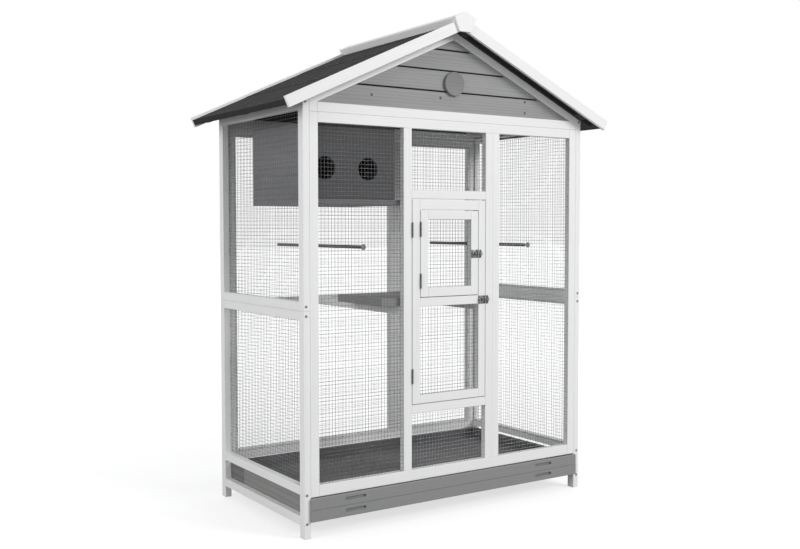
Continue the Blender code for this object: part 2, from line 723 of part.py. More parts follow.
def make_nest_box():
    """A floor board, walls, a partition and a lid in one piece, with a separate front."""
    front = FRONT_INNER + SEAM
    floor_right = MID_STILE[1]
    face = front + NEST_WALL
    floor, top = NEST_FLOOR
    partition = -ROOM + NEST_PARTITION_AT
    shell = [((-ROOM, front, floor), (floor_right, NEST_BACK, top)),
             ((-ROOM, face + SEAM, floor), (-ROOM + NEST_WALL, NEST_BACK, NEST_TOP)),
             ((NEST_RIGHT - NEST_WALL, face + SEAM, floor), (NEST_RIGHT, NEST_BACK, NEST_TOP)),
             ((-ROOM, NEST_BACK - NEST_WALL, floor), (NEST_RIGHT, NEST_BACK, NEST_TOP)),
             ((-ROOM, face + SEAM, NEST_TOP - NEST_WALL), (NEST_RIGHT, NEST_BACK, NEST_TOP)),
             ((partition - NEST_WALL / 2, face + SEAM, floor),
              (partition + NEST_WALL / 2, NEST_BACK, NEST_TOP))]
    add("nest_box", blocks(shell), "nest_timber")
    board = box((-ROOM, front, top + SEAM), (NEST_RIGHT, face, NEST_TOP))
    front_board = add("nest_front", board, "nest_timber")
    for number, inset in enumerate(NEST_HOLES_AT, 1):
        x = -ROOM + inset
        start, end = (x, front - CUT_PAST, NEST_HOLE_Z), (x, face + CUT_PAST, NEST_HOLE_Z)
        hole = cylinder(NEST_HOLE_RADIUS, start, end, 48)
        cut(front_board, f"hole_{number}", hole)
    smooth(front_board)


def make_perches():
    """Two dowels, each held at the front net by a screw and a washer."""
    net = FRONT + NET_SET_BACK + NET_THICK + SEAM
    radius, thick = PERCH_WASHER
    for label, x in zip(("left", "right"), PERCH_X):
        bar = cylinder(PERCH_RADIUS, (x, FRONT_INNER, PERCH_Z), (x, REAR_ROOM, PERCH_Z))
        perch = add(f"perch_{label}", bar, "perch_timber")
        screw_ends = (x, net + thick / 2, PERCH_Z), (x, FRONT_INNER + PERCH_SCREW_DEPTH, PERCH_Z)
        join(perch, "screw", cylinder(PERCH_SCREW, *screw_ends, 16))
        join(perch, "washer", cylinder(radius, (x, net, PERCH_Z), (x, net + thick, PERCH_Z)))
        smooth(perch)


def make_platform():
    """A thick board behind the sill of the small door, on two bearers."""
    front = FRONT_INNER + SEAM
    low = (MID_STILE[0] - PLATFORM_ENDS[0], front, STOREY)
    high = (LATCH_STILES[0] + PLATFORM_ENDS[1], front + PLATFORM_DEPTH, STOREY + PLATFORM_THICK)
    add("platform", box(low, high), "grey_timber")
    for label, x in zip(("left", "right"), BEARERS):
        low = (x, front, BEARER_TOP - BEARER_DEPTH)
        high = (x + BEARER_WIDTH, REAR_ROOM, BEARER_TOP)
        add(f"bearer_{label}", box(low, high), "white_timber")


def make_runners():
    """On each side wall, a board with two ledges: one under each tray."""
    y = (FRONT + RUNNER_SHORT, REAR_INNER - SEAM)
    for label, side in (("left", LEFT), ("right", RIGHT)):
        outer = side * FRAME_W
        web = side * (FRAME_W - RUNNER_WEB)
        inner = side * (FRAME_W - RUNNER_REACH)
        parts = []
        for reach, low, high in ((web, SIDE_FOOT_RAIL, FRAME_FOOT - SEAM),
                                 (inner, SIDE_FOOT_RAIL, TRAY_LOW),
                                 (inner, LOWER_PAN_TOP + RUNNER_PLAY, TRAY_SEAM)):
            x = sorted((outer, reach))
            parts.append(((x[0], y[0], low), (x[1], y[1], high)))
        add(f"tray_runner_{label}", blocks(parts), "grey_timber")


def make_tray(name, foot, head, pan_tops, slot_z):
    """A pan behind a proud front board that laps the legs and has two finger slots."""
    board = (FRONT - TRAY_PROUD, FRONT - SEAM)
    reach = INNER_W + TRAY_LAP
    rear = FRONT + TRAY_DEPTH
    pan_foot = foot + SEAM
    pan_top, rear_top = pan_tops
    solid = [((-reach, board[0], foot + SEAM), (reach, board[1], head)),
             ((-TRAY_HALF, board[1] - TRAY_JOINT, pan_foot), (TRAY_HALF, rear, pan_top)),
             ((-TRAY_HALF, rear - TRAY_WALL, pan_foot), (TRAY_HALF, rear, rear_top))]
    hollow = [((-TRAY_HALF + TRAY_WALL, board[1], pan_foot + TRAY_WALL),
               (TRAY_HALF - TRAY_WALL, rear - TRAY_WALL, pan_top + CUT_PAST))]
    tray = add(name, blocks(solid, hollow), "grey_timber")
    for label, side in (("left", LEFT), ("right", RIGHT)):
        cut_slot(tray, label, side * SLOT_X, slot_z)


def cut_slot(tray, label, x, z):
    """A blind finger slot with round ends, in the front of a tray."""
    y = (FRONT - TRAY_PROUD - CUT_PAST, FRONT - TRAY_PROUD + SLOT_DEPTH)
    radius = SLOT_HEIGHT / 2
    reach = SLOT_LENGTH / 2 - radius
    turns = [pi * step / SLOT_END_FACETS for step in range(SLOT_END_FACETS + 1)]
    loop = [(x + reach + radius * sin(a), z + radius * cos(a)) for a in turns]
    loop += [(x - reach - radius * sin(a), z - radius * cos(a)) for a in turns]
    cut(tray, f"slot_{label}", plate([loop], *y))


def make_trays():
    """The upper tray over the lower one."""
    upper_tops = (UPPER_PAN_TOP, FRAME_FOOT - PAN_REAR_DROPS[1])
    lower_tops = (LOWER_PAN_TOP, TRAY_SEAM - PAN_REAR_DROPS[0])
    make_tray("tray_upper", TRAY_SEAM, FRAME_FOOT - TRAY_TOP_GAP, upper_tops, UPPER_SLOT_Z)
    make_tray("tray_lower", TRAY_LOW, TRAY_SEAM - SEAM, lower_tops, LOWER_SLOT_Z)


def main_edges():
    """The x and z spans of the main door."""
    x = (MID_STILE[1] + HINGE_GAP, LATCH_STILES[0] - DOOR_GAP)
    return x, (SILL[1] + DOOR_GAP, HEADER[0] - DOOR_GAP)


def small_edges():
    """The x and z spans of the small door."""
    x = (MAIN_STILE_INNER[0] + HINGE_GAP, MAIN_STILE_INNER[1] - DOOR_GAP)
    return x, (MAIN_RAILS[2] + DOOR_GAP, MAIN_RAILS[3] - DOOR_GAP)


def hinge_axis(gap_left):
    """The point on the ground under a door's hinge line."""
    return gap_left + HINGE_GAP / 2, HINGE_AXIS_Y, 0.0


def make_doors():
    """The main door with its lower net, and the small door that hangs in it."""
    depth = (FRONT, FRONT_INNER)
    net_y = FRONT + NET_SET_BACK
    origin = hinge_axis(MID_STILE[1])
    x, z = main_edges()
    gaps = ((*MAIN_STILE_INNER, *MAIN_RAILS[:2]), (*MAIN_STILE_INNER, *MAIN_RAILS[2:]))
    main = upright_frame("main_door_frame", (x, z), depth, gaps)
    move_origin(main, origin)
    net_x, net_z = within(gaps[0])
    facing_net("net_main_door", net_x, net_z, net_y, *MAIN_DOOR_COUNTS, origin)
    origin = hinge_axis(MAIN_STILE_INNER[0])
    gap = (*SMALL_OPENING_X, *SMALL_OPENING_Z)
    small = upright_frame("small_door_frame", small_edges(), depth, (gap,))
    move_origin(small, origin)
    net_x, net_z = within(gap)
    facing_net("net_small_door", net_x, net_z, net_y, *SMALL_DOOR_COUNTS, origin)


def move_origin(obj, origin):
    """Puts the object's origin at a point and leaves its shape where it is."""
    obj.data.transform(Matrix.Translation(-Vector(origin)))
    obj.location = origin


def make_hinge(name, gap_left, z):
    """A butt hinge: a leaf with two knuckles and the pin, and a leaf with the knuckle between."""
    x, y, _ = hinge_axis(gap_left)
    foot, head = z - HINGE_HEIGHT / 2, z + HINGE_HEIGHT / 2
    third = HINGE_HEIGHT / 3
    clear = KNUCKLE + KNUCKLE_CLEAR
    back = HINGE_AXIS_Y + LEAF_DEPTH
    fixed_x = (gap_left + SEAM, gap_left + SEAM + HINGE_LEAF)
    moving_x = (gap_left + HINGE_GAP - SEAM - HINGE_LEAF, gap_left + HINGE_GAP - SEAM)
    middle = (foot + third + SEAM, head - third - SEAM)

    plates = [((fixed_x[0], y + clear, foot), (fixed_x[1], back, head)),
              ((fixed_x[0], y + LEAF_ROOTS[0], foot), (fixed_x[1], back, foot + third)),
              ((fixed_x[0], y + LEAF_ROOTS[0], head - third), (fixed_x[1], back, head))]
    fixed = add(f"{name}_fixed_leaf", blocks(plates), "black_steel")
    join(fixed, "foot_knuckle", cylinder(KNUCKLE, (x, y, foot), (x, y, foot + third), 20))
    join(fixed, "head_knuckle", cylinder(KNUCKLE, (x, y, head - third), (x, y, head), 20))
    join(fixed, "pin", cylinder(HINGE_PIN, (x, y, foot + PIN_SHORT), (x, y, head - PIN_SHORT), 12))
    smooth(fixed)

    plates = [((moving_x[0], y + clear, foot), (moving_x[1], back, head)),
              ((moving_x[0], y + LEAF_ROOTS[1], middle[0]), (moving_x[1], back, middle[1]))]
    moving = add(f"{name}_moving_leaf", blocks(plates), "black_steel", (x, y, 0.0))
    join(moving, "knuckle", cylinder(KNUCKLE, (x, y, middle[0]), (x, y, middle[1]), 20))
    bore = cylinder(HINGE_PIN + PIN_PLAY, (x, y, foot), (x, y, head), 12)
    cut(moving, "bore", bore)
    smooth(moving)


def make_hinges():
    for label, z in zip(("lower", "upper"), MAIN_HINGES):
        make_hinge(f"main_hinge_{label}", MID_STILE[1], z)
    for label, z in zip(("lower", "upper"), SMALL_HINGES):
        make_hinge(f"small_hinge_{label}", MAIN_STILE_INNER[0], z)


def make_bolt_plate(name, edge, z, hinge):
    """The slide bolt's plate on the door, with a slotted barrel for the rod."""
    y = BOLT_AXIS_Y
    face = FRONT - SEAM
    x = (edge + BOLT_PLATE[0], edge + BOLT_PLATE[1])
    barrel = (x[0] + BARREL_INSET, x[1] - BARREL_INSET)
    knob_x = edge + KNOB_AT
    play = KNOB + 2 * PIN_PLAY
    plates = [((x[0], face - BOLT_PLATE_THICK, z - BOLT_HEIGHT / 2), (x[1], face, z + BOLT_HEIGHT / 2)),
              ((barrel[0], y, z - BARREL_WEB), (barrel[1], face - BOLT_PLATE_THICK / 2, z + BARREL_WEB))]
    base = add(f"{name}_plate", blocks(plates), "zinc_steel", hinge)
    join(base, "barrel", cylinder(BARREL, (barrel[0], y, z), (barrel[1], y, z)))
    bore = cylinder(ROD + PIN_PLAY, (x[0] - CUT_PAST, y, z), (x[1] + CUT_PAST, y, z), 16)
    cut(base, "bore", bore)
    slot = ((knob_x - play, y - KNOB_REACH, z - play), (knob_x + BOLT_TRAVEL + play, y, z + play))
    cut(base, "knob_slot", box(*slot))
    smooth(base)


def make_bolt_rod(name, edge, z):
    """The rod that slides in the barrel, drawn back, with its knob."""
    y = BOLT_AXIS_Y
    knob_x = edge + KNOB_AT
    ends = (edge + BOLT_PLATE[0] + ROD_INSETS[0], edge - ROD_INSETS[1])
    shaft = cylinder(ROD, (ends[0], y, z), (ends[1], y, z), 16)
    rod = add(f"{name}_rod", shaft, "black_steel", (knob_x, y, z))
    join(rod, "knob", cylinder(KNOB, (knob_x, y - KNOB_REACH, z), (knob_x, y, z), 16))
    smooth(rod)


def make_bolt_keeper(name, strike, z):
    """The pointed plate beside the door, with the loop that takes the rod."""
    y = BOLT_AXIS_Y
    face = FRONT - SEAM
    x = (strike + STRIKE[0], strike + STRIKE[1])
    low, high = z - BOLT_HEIGHT / 2, z + BOLT_HEIGHT / 2
    shoulder = x[1] - STRIKE_NOSE
    outline = [(x[0], low), (shoulder, low), (x[1], z), (shoulder, high), (x[0], high)]
    keeper = add(f"{name}_keeper", plate([outline], face - BOLT_PLATE_THICK, face), "zinc_steel")
    near, far = x[0] + STRIKE_LOOP[0], x[0] + STRIKE_LOOP[1]
    block = box((near, y - BARREL, z - BARREL), (far, face - BOLT_PLATE_THICK / 2, z + BARREL))
    join(keeper, "loop", block)
    bore = cylinder(ROD + 2 * PIN_PLAY, (x[0] - CUT_PAST, y, z), (x[1] + CUT_PAST, y, z), 16)
    cut(keeper, "bore", bore)
    smooth(keeper)
    return keeper


def make_bolts():
    """One bolt closes the main door to the latch stiles, one the small door to the main door."""
    main_axis = hinge_axis(MID_STILE[1])
    small_axis = hinge_axis(MAIN_STILE_INNER[0])
    main_edge, small_edge = main_edges()[0][1], small_edges()[0][1]
    make_bolt_plate("main_bolt", main_edge, MAIN_BOLT_Z, main_axis)
    make_bolt_rod("main_bolt", main_edge, MAIN_BOLT_Z)
    make_bolt_keeper("main_bolt", LATCH_STILES[0], MAIN_BOLT_Z)
    make_bolt_plate("small_bolt", small_edge, SMALL_BOLT_Z, small_axis)
    make_bolt_rod("small_bolt", small_edge, SMALL_BOLT_Z)
    keeper = make_bolt_keeper("small_bolt", MAIN_STILE_INNER[1], SMALL_BOLT_Z)
    move_origin(keeper, main_axis)


def main():
    clear_scene()
    MATERIALS.update(make_materials())
    make_side_panels()
    make_front_frame()
    make_rear_frame()
    make_front_nets()
    make_rear_nets()
    make_side_nets()
    make_gables()
    make_roof_boards()
    make_felt()
    make_ridge_cap()
    make_barges()
    make_keystones()
    make_nest_box()
    make_perches()
    make_platform()
    make_runners()
    make_trays()
    make_doors()
    make_hinges()
    make_bolts()


main()
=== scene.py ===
"""The looks of a wooden aviary: painted timbers, welded wire mesh, a felt roof, hinges,
slide bolts, trays, a nest box and perches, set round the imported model.

Metres, in the model's own frame: the front faces -Y and the ground is z = 0. A span is a
low and a high end along x, y or z. On a slope, u runs down it and w out of it.
"""

import random
from math import atan, cos, pi, radians, sin

import bmesh
import bpy
from mathutils import Matrix, Vector
from mathutils.geometry import tessellate_polygon


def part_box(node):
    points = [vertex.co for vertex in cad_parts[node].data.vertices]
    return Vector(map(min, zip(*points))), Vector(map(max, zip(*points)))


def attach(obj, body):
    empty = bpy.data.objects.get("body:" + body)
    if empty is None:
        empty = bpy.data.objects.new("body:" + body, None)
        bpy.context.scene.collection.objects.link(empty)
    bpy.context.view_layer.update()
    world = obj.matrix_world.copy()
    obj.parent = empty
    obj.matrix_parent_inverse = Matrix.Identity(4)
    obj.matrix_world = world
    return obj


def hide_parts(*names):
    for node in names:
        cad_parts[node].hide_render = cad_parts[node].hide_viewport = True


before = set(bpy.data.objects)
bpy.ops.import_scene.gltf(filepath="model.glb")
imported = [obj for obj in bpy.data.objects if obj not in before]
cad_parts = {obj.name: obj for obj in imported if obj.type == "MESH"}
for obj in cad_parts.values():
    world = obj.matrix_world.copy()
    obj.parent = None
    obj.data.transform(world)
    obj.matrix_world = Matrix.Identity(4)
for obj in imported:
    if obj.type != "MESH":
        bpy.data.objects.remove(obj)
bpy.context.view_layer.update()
chance = random.Random(11)

SIDES = (("left", -1), ("right", 1))
ENDS = (("front", -1), ("rear", 1))

# The body's faces, its timbers, and the fine joint between two pieces.
FRONT = -0.329
REAR = 0.329
TIMBER = 0.024
SIDE_IN = 0.580
SIDE_OUT = 0.604
SIDE_STILE = 0.032
FRAME_X = 0.5797
END_STILE = 0.548
SEAM = 0.0003
ROUND_OVER = 0.0012
THIN_EDGE = 0.0002

# Spans of the front and rear timbers.
FRONT_Y = (FRONT, FRONT + TIMBER)
REAR_Y = (REAR - TIMBER, REAR)
END_STILES = ((-FRAME_X, -END_STILE), (END_STILE, FRAME_X))
BETWEEN_ENDS = (-END_STILE, END_STILE)
MIDDLE_STILE = (-0.215, -0.182)
LATCH_STILES = ((0.1414, 0.1737), (0.1737, 0.204))
FOOT_RAIL = (0.042, 0.072)
SILL = (0.1358, 0.1736)
HEADER = (0.369, 0.3996)
DOOR_TOP_RAIL = (1.1145, 1.1446)
REAR_MIDDLE_RAIL = (0.7125, 0.745)
TOP_RAIL = (1.3545, 1.388)
MAIN_STILES = ((-0.179, -0.1475), (0.1091, 0.1389))
MAIN_RAILS = ((0.4021, 0.4329), (0.7408, 0.7712), (1.0765, 1.112))
SMALL_STILES = ((-0.1445, -0.1126), (0.0754, 0.1066))
SMALL_RAILS = ((0.7737, 0.8066), (1.0432, 1.074))

# The side panels: where the lower one ends and the upper one starts.
LOWER_TOP = 0.74485
UPPER_FOOT = 0.74515
SIDE_RAIL = 0.030

# Roof lines, by their height over x = 0.
SLOPE = 0.4577
ANGLE = atan(SLOPE)
FELT_LINE = 1.7296
GABLE_LINE = 1.6994
GABLE_INNER = 1.6718
GABLE_RAIL = (1.3883, 1.420)
BARGE_TOP = 1.7396
BARGE_FOOT = 1.6985
EAVE_X = 0.690
TAIL_X = 0.694
BARGE_FACE = 0.3844
BARGE_BACK = 0.3724
ROOF_END = 0.3721
CAP_TOP = 1.7570
CAP_X = 0.047

# Wire mesh: its pitch and, by net, its wire and the wire's radius. Some nets take a darker copy of the wire
# as painted shade, and the right bay a lighter one as painted light.
PITCH = 0.013
PLAIN_WIRE = ("wire", 0.00048)
NET_WIRES = {"left_bay": ("painted_shade_wire", 0.00053), "main_door": ("painted_shade_wire", 0.00055),
             "small_door": ("painted_shade_wire", 0.00055), "right_bay": ("painted_light_wire", 0.00045)}

# Rows are a timber's two cross directions and, last, the way that its grain runs.
GRAIN = {
    "x": Matrix(((0, 1, 0), (0, 0, 1), (1, 0, 0))),
    "y": Matrix(((0, 0, 1), (1, 0, 0), (0, 1, 0))),
    "z": Matrix(((1, 0, 0), (0, 1, 0), (0, 0, 1))),
}


def steps(low, high, count):
    """Places in even steps from one end to the other."""
    return [low + (high - low) * i / (count - 1) for i in range(count)]


# Nodes

def is_socket(value):
    return isinstance(value, bpy.types.NodeSocket)


def feed(tree, node, inputs):
    """Gives a node's inputs values or other nodes' sockets. Returns its outputs."""
    for key, value in inputs.items():
        if is_socket(value):
            tree.links.new(value, node.inputs[key])
        else:
            node.inputs[key].default_value = value
    return node.outputs


def add_node(tree, kind, inputs=None, **settings):
    """Makes a node with its settings and inputs. Returns its outputs."""
    made = tree.nodes.new(kind)
    for key, value in settings.items():
        setattr(made, key, value)
    return feed(tree, made, inputs or {})


def new_tree(kind, name, inputs, outputs, result="Float"):
    """An empty node group with its named sockets, its inputs' sockets and its end node."""
    tree = bpy.data.node_groups.new(name, kind)
    for label, socket, value in inputs:
        made = tree.interface.new_socket(label, in_out="INPUT", socket_type=f"NodeSocket{socket}")
        if value is not None:
            made.default_value = value
    for label in outputs:
        tree.interface.new_socket(label, in_out="OUTPUT", socket_type=f"NodeSocket{result}")
    return tree, tree.nodes.new("NodeGroupInput").outputs, tree.nodes.new("NodeGroupOutput")


def maths(tree, operation, first, second=0.0):
    return add_node(tree, "ShaderNodeMath", {0: first, 1: second}, operation=operation)[0]


def times(tree, first, second):
    return maths(tree, "MULTIPLY", first, second)


def vector(tree, parts):
    """A vector from its parts, by axis."""
    return add_node(tree, "ShaderNodeCombineXYZ", parts)[0]


def vector_maths(tree, operation, first, second=(0.0, 0.0, 0.0)):
    return add_node(tree, "ShaderNodeVectorMath", {0: first, 1: second}, operation=operation)


def split(tree, value):
    """The three parts of a vector or a colour."""
    return add_node(tree, "ShaderNodeSeparateXYZ", {0: value})


def blend(tree, factor, *colours):
    """One colour or the other, by a factor."""
    first, second = (colour if is_socket(colour) else (*colour, 1) for colour in colours)
    return add_node(tree, "ShaderNodeMix", {0: factor, 6: first, 7: second}, data_type="RGBA")[2]


def lay_over(tree, under, mask, amount, colour):
    """A colour laid over another one where a mask is high."""
    return blend(tree, times(tree, mask, amount), under, colour)


def spread(tree, value, low, high, to_low=0.0, to_high=1.0):
    """A value moved from one range to another, and held inside it."""
    inputs = {0: value, 1: low, 2: high, 3: to_low, 4: to_high}
    return add_node(tree, "ShaderNodeMapRange", inputs)[0]


def noise(tree, place, scale, detail=2.0, roughness=0.5):
    inputs = {"Vector": place, "Scale": scale, "Detail": detail, "Roughness": roughness}
    return add_node(tree, "ShaderNodeTexNoise", inputs)["Fac"]


def bump(tree, strength, distance, height):
    inputs = {"Strength": strength, "Distance": distance, "Height": height}
    return add_node(tree, "ShaderNodeBump", inputs)[0]


def make_grain_group():
    """Fibres that run along a timber, growth rings across it, and a slow change of tone."""
    group, given, out = new_tree(
        "ShaderNodeTree", "timber_grain", (("Place", "Vector", None), ("Seed", "Float", 0.0)),
        ("Fibre", "Rings", "Tone"))
    shift = vector(group, {i: times(group, given["Seed"], far) for i, far in enumerate((3.1, 5.7, 9.3))})
    place = vector_maths(group, "ADD", given["Place"], shift)[0]
    scales = ((420.0, 420.0, 9.0), (60.0, 60.0, 3.2), (9.0, 9.0, 1.7))
    thin, wide, slow = (add_node(group, "ShaderNodeMapping", {0: place, 3: scale})[0] for scale in scales)
    rings = add_node(group, "ShaderNodeTexWave", {
        "Vector": wide, "Scale": 0.55, "Distortion": 7.0, "Detail": 3.0, "Detail Scale": 0.6,
    }, wave_type="RINGS", rings_direction="Z")["Fac"]
    feed(group, out, {
        "Fibre": noise(group, thin, 1.0, 3.0, 0.6),
        "Rings": rings,
        "Tone": noise(group, slow, 1.0, 2.0, 0.55),
    })
    return group


def make_edge_group():
    """A mask of the rubbed edges of a squared timber, from its own place and half size."""
    group, given, out = new_tree(
        "ShaderNodeTree", "rubbed_edges",
        (("Place", "Vector", None), ("Half Size", "Vector", None), ("Seed", "Float", 0.0),
         ("Width", "Float", 0.0015)), ("Rubbed",))
    size = vector_maths(group, "ABSOLUTE", given["Place"])[0]
    x, y, z = split(group, vector_maths(group, "SUBTRACT", given["Half Size"], size)[0])
    lesser = maths(group, "MINIMUM", x, y)
    greater = maths(group, "MAXIMUM", x, y)
    away = maths(group, "MAXIMUM", lesser, maths(group, "MINIMUM", greater, z))
    moved = vector_maths(group, "ADD", given["Place"], given["Seed"])[0]
    broken = spread(group, noise(group, moved, 38.0, 4.0, 0.7), 0.45, 0.75)
    near = maths(group, "SUBTRACT", 1.0, maths(group, "DIVIDE", away, given["Width"]))
    feed(group, out, {"Rubbed": times(group, spread(group, near, 0.0, 0.8), broken)})
    return group


def make_dust_group():
    """A mask of the dust that settles on faces turned upwards."""
    group, given, out = new_tree(
        "ShaderNodeTree", "settled_dust", (("Place", "Vector", None), ("Patch Scale", "Float", 14.0)),
        ("Dust",))
    up = split(group, add_node(group, "ShaderNodeNewGeometry")["Normal"])[2]
    patches = noise(group, given["Place"], given["Patch Scale"], 5.0)
    lying = spread(group, up, 0.35, 0.95)
    feed(group, out, {"Dust": times(group, lying, spread(group, patches, 0.3, 0.75))})
    return group


GROUPS = {"grain": make_grain_group(), "edges": make_edge_group(), "dust": make_dust_group()}


def use_group(tree, label, inputs):
    return add_node(tree, "ShaderNodeGroup", inputs, node_tree=GROUPS[label])


def new_finish(name):
    """A material with nodes, its shader, and its Object coordinates."""
    finish = bpy.data.materials.new(name)
    finish.use_nodes = True
    tree = finish.node_tree
    return finish, tree, tree.nodes["Principled BSDF"], add_node(tree, "ShaderNodeTexCoord")["Object"]


def own(tree, label):
    """What each point of a piece carries."""
    return add_node(tree, "ShaderNodeAttribute", attribute_name=label)


def timber_finish(name, colour, dark, bare, *, grain=0.9, roughness=0.6, wear=0.6, relief=0.4, dust=0.25):
    """Painted or stained timber: fibres and rings show faintly, edges are rubbed, dust lies on top."""
    finish, tree, shader, where = new_finish(name)
    place = own(tree, "timber_place")["Vector"]
    half = own(tree, "timber_half")["Vector"]
    seed = own(tree, "timber_seed")["Fac"]
    wood = use_group(tree, "grain", {"Place": place, "Seed": seed})
    lines = spread(tree, times(tree, wood["Rings"], wood["Fibre"]), 0.15, 0.75)
    slow = spread(tree, wood["Tone"], 0.3, 0.75)
    mottled = maths(tree, "ADD", times(tree, lines, grain), times(tree, slow, grain * 0.8))
    paint = blend(tree, maths(tree, "MINIMUM", mottled, 1.0), colour, dark)
    rubbed = use_group(tree, "edges", {"Place": place, "Half Size": half, "Seed": seed})["Rubbed"]
    paint = lay_over(tree, paint, rubbed, wear, bare)
    lying = use_group(tree, "dust", {"Place": where})["Dust"]
    rough = spread(tree, wood["Fibre"], 0.2, 0.8, roughness - 0.07, roughness + 0.10)
    height = maths(tree, "ADD", wood["Fibre"], times(tree, wood["Rings"], 0.6))
    feed(tree, shader, {
        "Base Color": lay_over(tree, paint, lying, dust, (0.50, 0.49, 0.47)),
        "Roughness": maths(tree, "ADD", rough, times(tree, lying, 0.15)),
        "Normal": bump(tree, relief, 0.0004, height),
    })
    return finish


def steel_finish(name, colour, worn, *, roughness=0.45, spangle=60.0, metallic=0.9):
    """Plated or blackened steel with a mottled coat and brighter rubbed spots."""
    finish, tree, shader, place = new_finish(name)
    flakes = add_node(tree, "ShaderNodeTexVoronoi", {"Vector": place, "Scale": spangle})["Color"]
    tone = split(tree, flakes)[0]
    spots = spread(tree, noise(tree, place, 180.0, 4.0, 0.65), 0.52, 0.72)
    coat = lay_over(tree, colour, tone, 0.45, [part * 0.6 for part in colour])
    coat = lay_over(tree, coat, spots, 0.55, worn)
    lying = use_group(tree, "dust", {"Place": place, "Patch Scale": 40.0})["Dust"]
    feed(tree, shader, {
        "Base Color": lay_over(tree, coat, lying, 0.25, (0.45, 0.44, 0.42)),
        "Roughness": spread(tree, tone, 0.0, 1.0, roughness - 0.08, roughness + 0.14),
        "Metallic": metallic,
        "Normal": bump(tree, 0.2, 0.0002, spots),
    })
    return finish


def felt_finish():
    """Mineral felt: dense granules of several greys on a dark ground, worn in patches."""
    finish, tree, shader, place = new_finish("roof_felt_granules")
    grains = add_node(tree, "ShaderNodeTexVoronoi", {"Vector": place, "Scale": 620.0})
    grey = split(tree, grains["Color"])[0]
    patch = spread(tree, noise(tree, place, 5.0, 4.0, 0.6), 0.3, 0.7)
    stone = blend(tree, maths(tree, "POWER", grey, 2.0), (0.014, 0.014, 0.0145), (0.060, 0.060, 0.061))
    faded = lay_over(tree, stone, patch, 0.35, (0.036, 0.0355, 0.035))
    lying = use_group(tree, "dust", {"Place": place, "Patch Scale": 7.0})["Dust"]
    feed(tree, shader, {
        "Base Color": lay_over(tree, faded, lying, 0.03, (0.3, 0.3, 0.29)),
        "Roughness": spread(tree, grey, 0.0, 1.0, 0.82, 0.97),
        "Specular IOR Level": 0.12,
        "Normal": bump(tree, 0.7, 0.0008, grains["Distance"]),
    })
    return finish


# Timbers: the paint, the paint over dark grain, and the bare wood of rubbed edges.
# Steels: the coat and its worn spots.
GREY_BARE = (0.36, 0.34, 0.31)
FINISHES = {
    "white_timber": timber_finish(
        "white_paint", (0.83, 0.83, 0.825), (0.74, 0.74, 0.73), (0.60, 0.57, 0.52), grain=0.35,
        roughness=0.5, wear=0.35, relief=0.25),
    "grey_timber": timber_finish(
        "grey_paint", (0.255, 0.255, 0.258), (0.180, 0.180, 0.184), GREY_BARE, grain=0.75),
    "gable_timber": timber_finish(
        "gable_paint", (0.305, 0.305, 0.307), (0.215, 0.215, 0.218), (0.40, 0.38, 0.35), grain=0.6,
        relief=0.35),
    "roundel_timber": timber_finish(
        "roundel_paint", (0.200, 0.200, 0.197), (0.150, 0.150, 0.148), GREY_BARE, grain=0.6,
        relief=0.35),
    "tray_timber": timber_finish(
        "tray_paint", (0.240, 0.240, 0.241), (0.190, 0.190, 0.192), (0.35, 0.33, 0.31), grain=0.25,
        relief=0.12),
    "runner_timber": timber_finish(
        "runner_paint", (0.25, 0.25, 0.245), (0.19, 0.19, 0.186), GREY_BARE, grain=0.8, roughness=0.7),
    "floor_timber": timber_finish(
        "tray_floor_paint", (0.135, 0.135, 0.138), (0.075, 0.075, 0.078), (0.2, 0.19, 0.18),
        roughness=0.7, dust=0.1),
    "nest_timber": timber_finish(
        "nest_dark_finish", (0.165, 0.165, 0.17), (0.10, 0.10, 0.105), (0.24, 0.22, 0.20), roughness=0.65,
        relief=0.45),
    # The nest front: a darker copy of the nest's stain, as painted shade on the front.
    "nest_front": timber_finish(
        "nest_front_painted_shade", (0.064, 0.064, 0.066), (0.038, 0.038, 0.040), (0.10, 0.094, 0.088),
        roughness=0.7, relief=0.45),
    "perch_timber": timber_finish(
        "perch_wood", (0.13, 0.115, 0.105), (0.06, 0.052, 0.048), (0.24, 0.2, 0.17), grain=1.0,
        relief=0.5, wear=0.0),
    # Near-black: painted shade under the roof and behind the gable boards' gaps.
    "dark_batten": timber_finish(
        "underside_painted_shade", (0.024, 0.024, 0.025), (0.012, 0.012, 0.013), (0.05, 0.047, 0.044),
        roughness=0.85, relief=0.5, dust=0.1),
    "wire": steel_finish(
        "galvanised_wire", (0.25, 0.254, 0.262), (0.38, 0.38, 0.39), spangle=180.0, roughness=0.42),
    # Darker and lighter copies of the plain wire: painted shade and painted light.
    "painted_shade_wire": steel_finish("door_wire_painted_shade", (0.14, 0.142, 0.147), (0.30, 0.30, 0.31), spangle=180.0),
    "painted_light_wire": steel_finish(
        "bay_wire_painted_light", (0.36, 0.365, 0.375), (0.5, 0.5, 0.51), spangle=180.0, roughness=0.42),
    "black_steel": steel_finish("black_steel", (0.03, 0.03, 0.033), (0.10, 0.10, 0.10), metallic=0.6),
    "hinge_steel": steel_finish(
        "hinge_steel", (0.11, 0.11, 0.114), (0.24, 0.24, 0.24), roughness=0.4, metallic=0.5),
    "zinc_steel": steel_finish("zinc_plate", (0.14, 0.14, 0.144), (0.55, 0.55, 0.55), roughness=0.3),
    "felt": felt_finish(),
}


# Forms

def squared(x, y, z, round_over=ROUND_OVER):
    """A squared timber that fills three spans, with its edges rounded over."""
    bm = bmesh.new()
    low, high = (Vector(corner) for corner in zip(x, y, z))
    place = Matrix.Translation((low + high) / 2) @ Matrix.Diagonal((*(high - low), 1))
    bmesh.ops.create_cube(bm, size=1, matrix=place)
    return eased(bm, round_over)


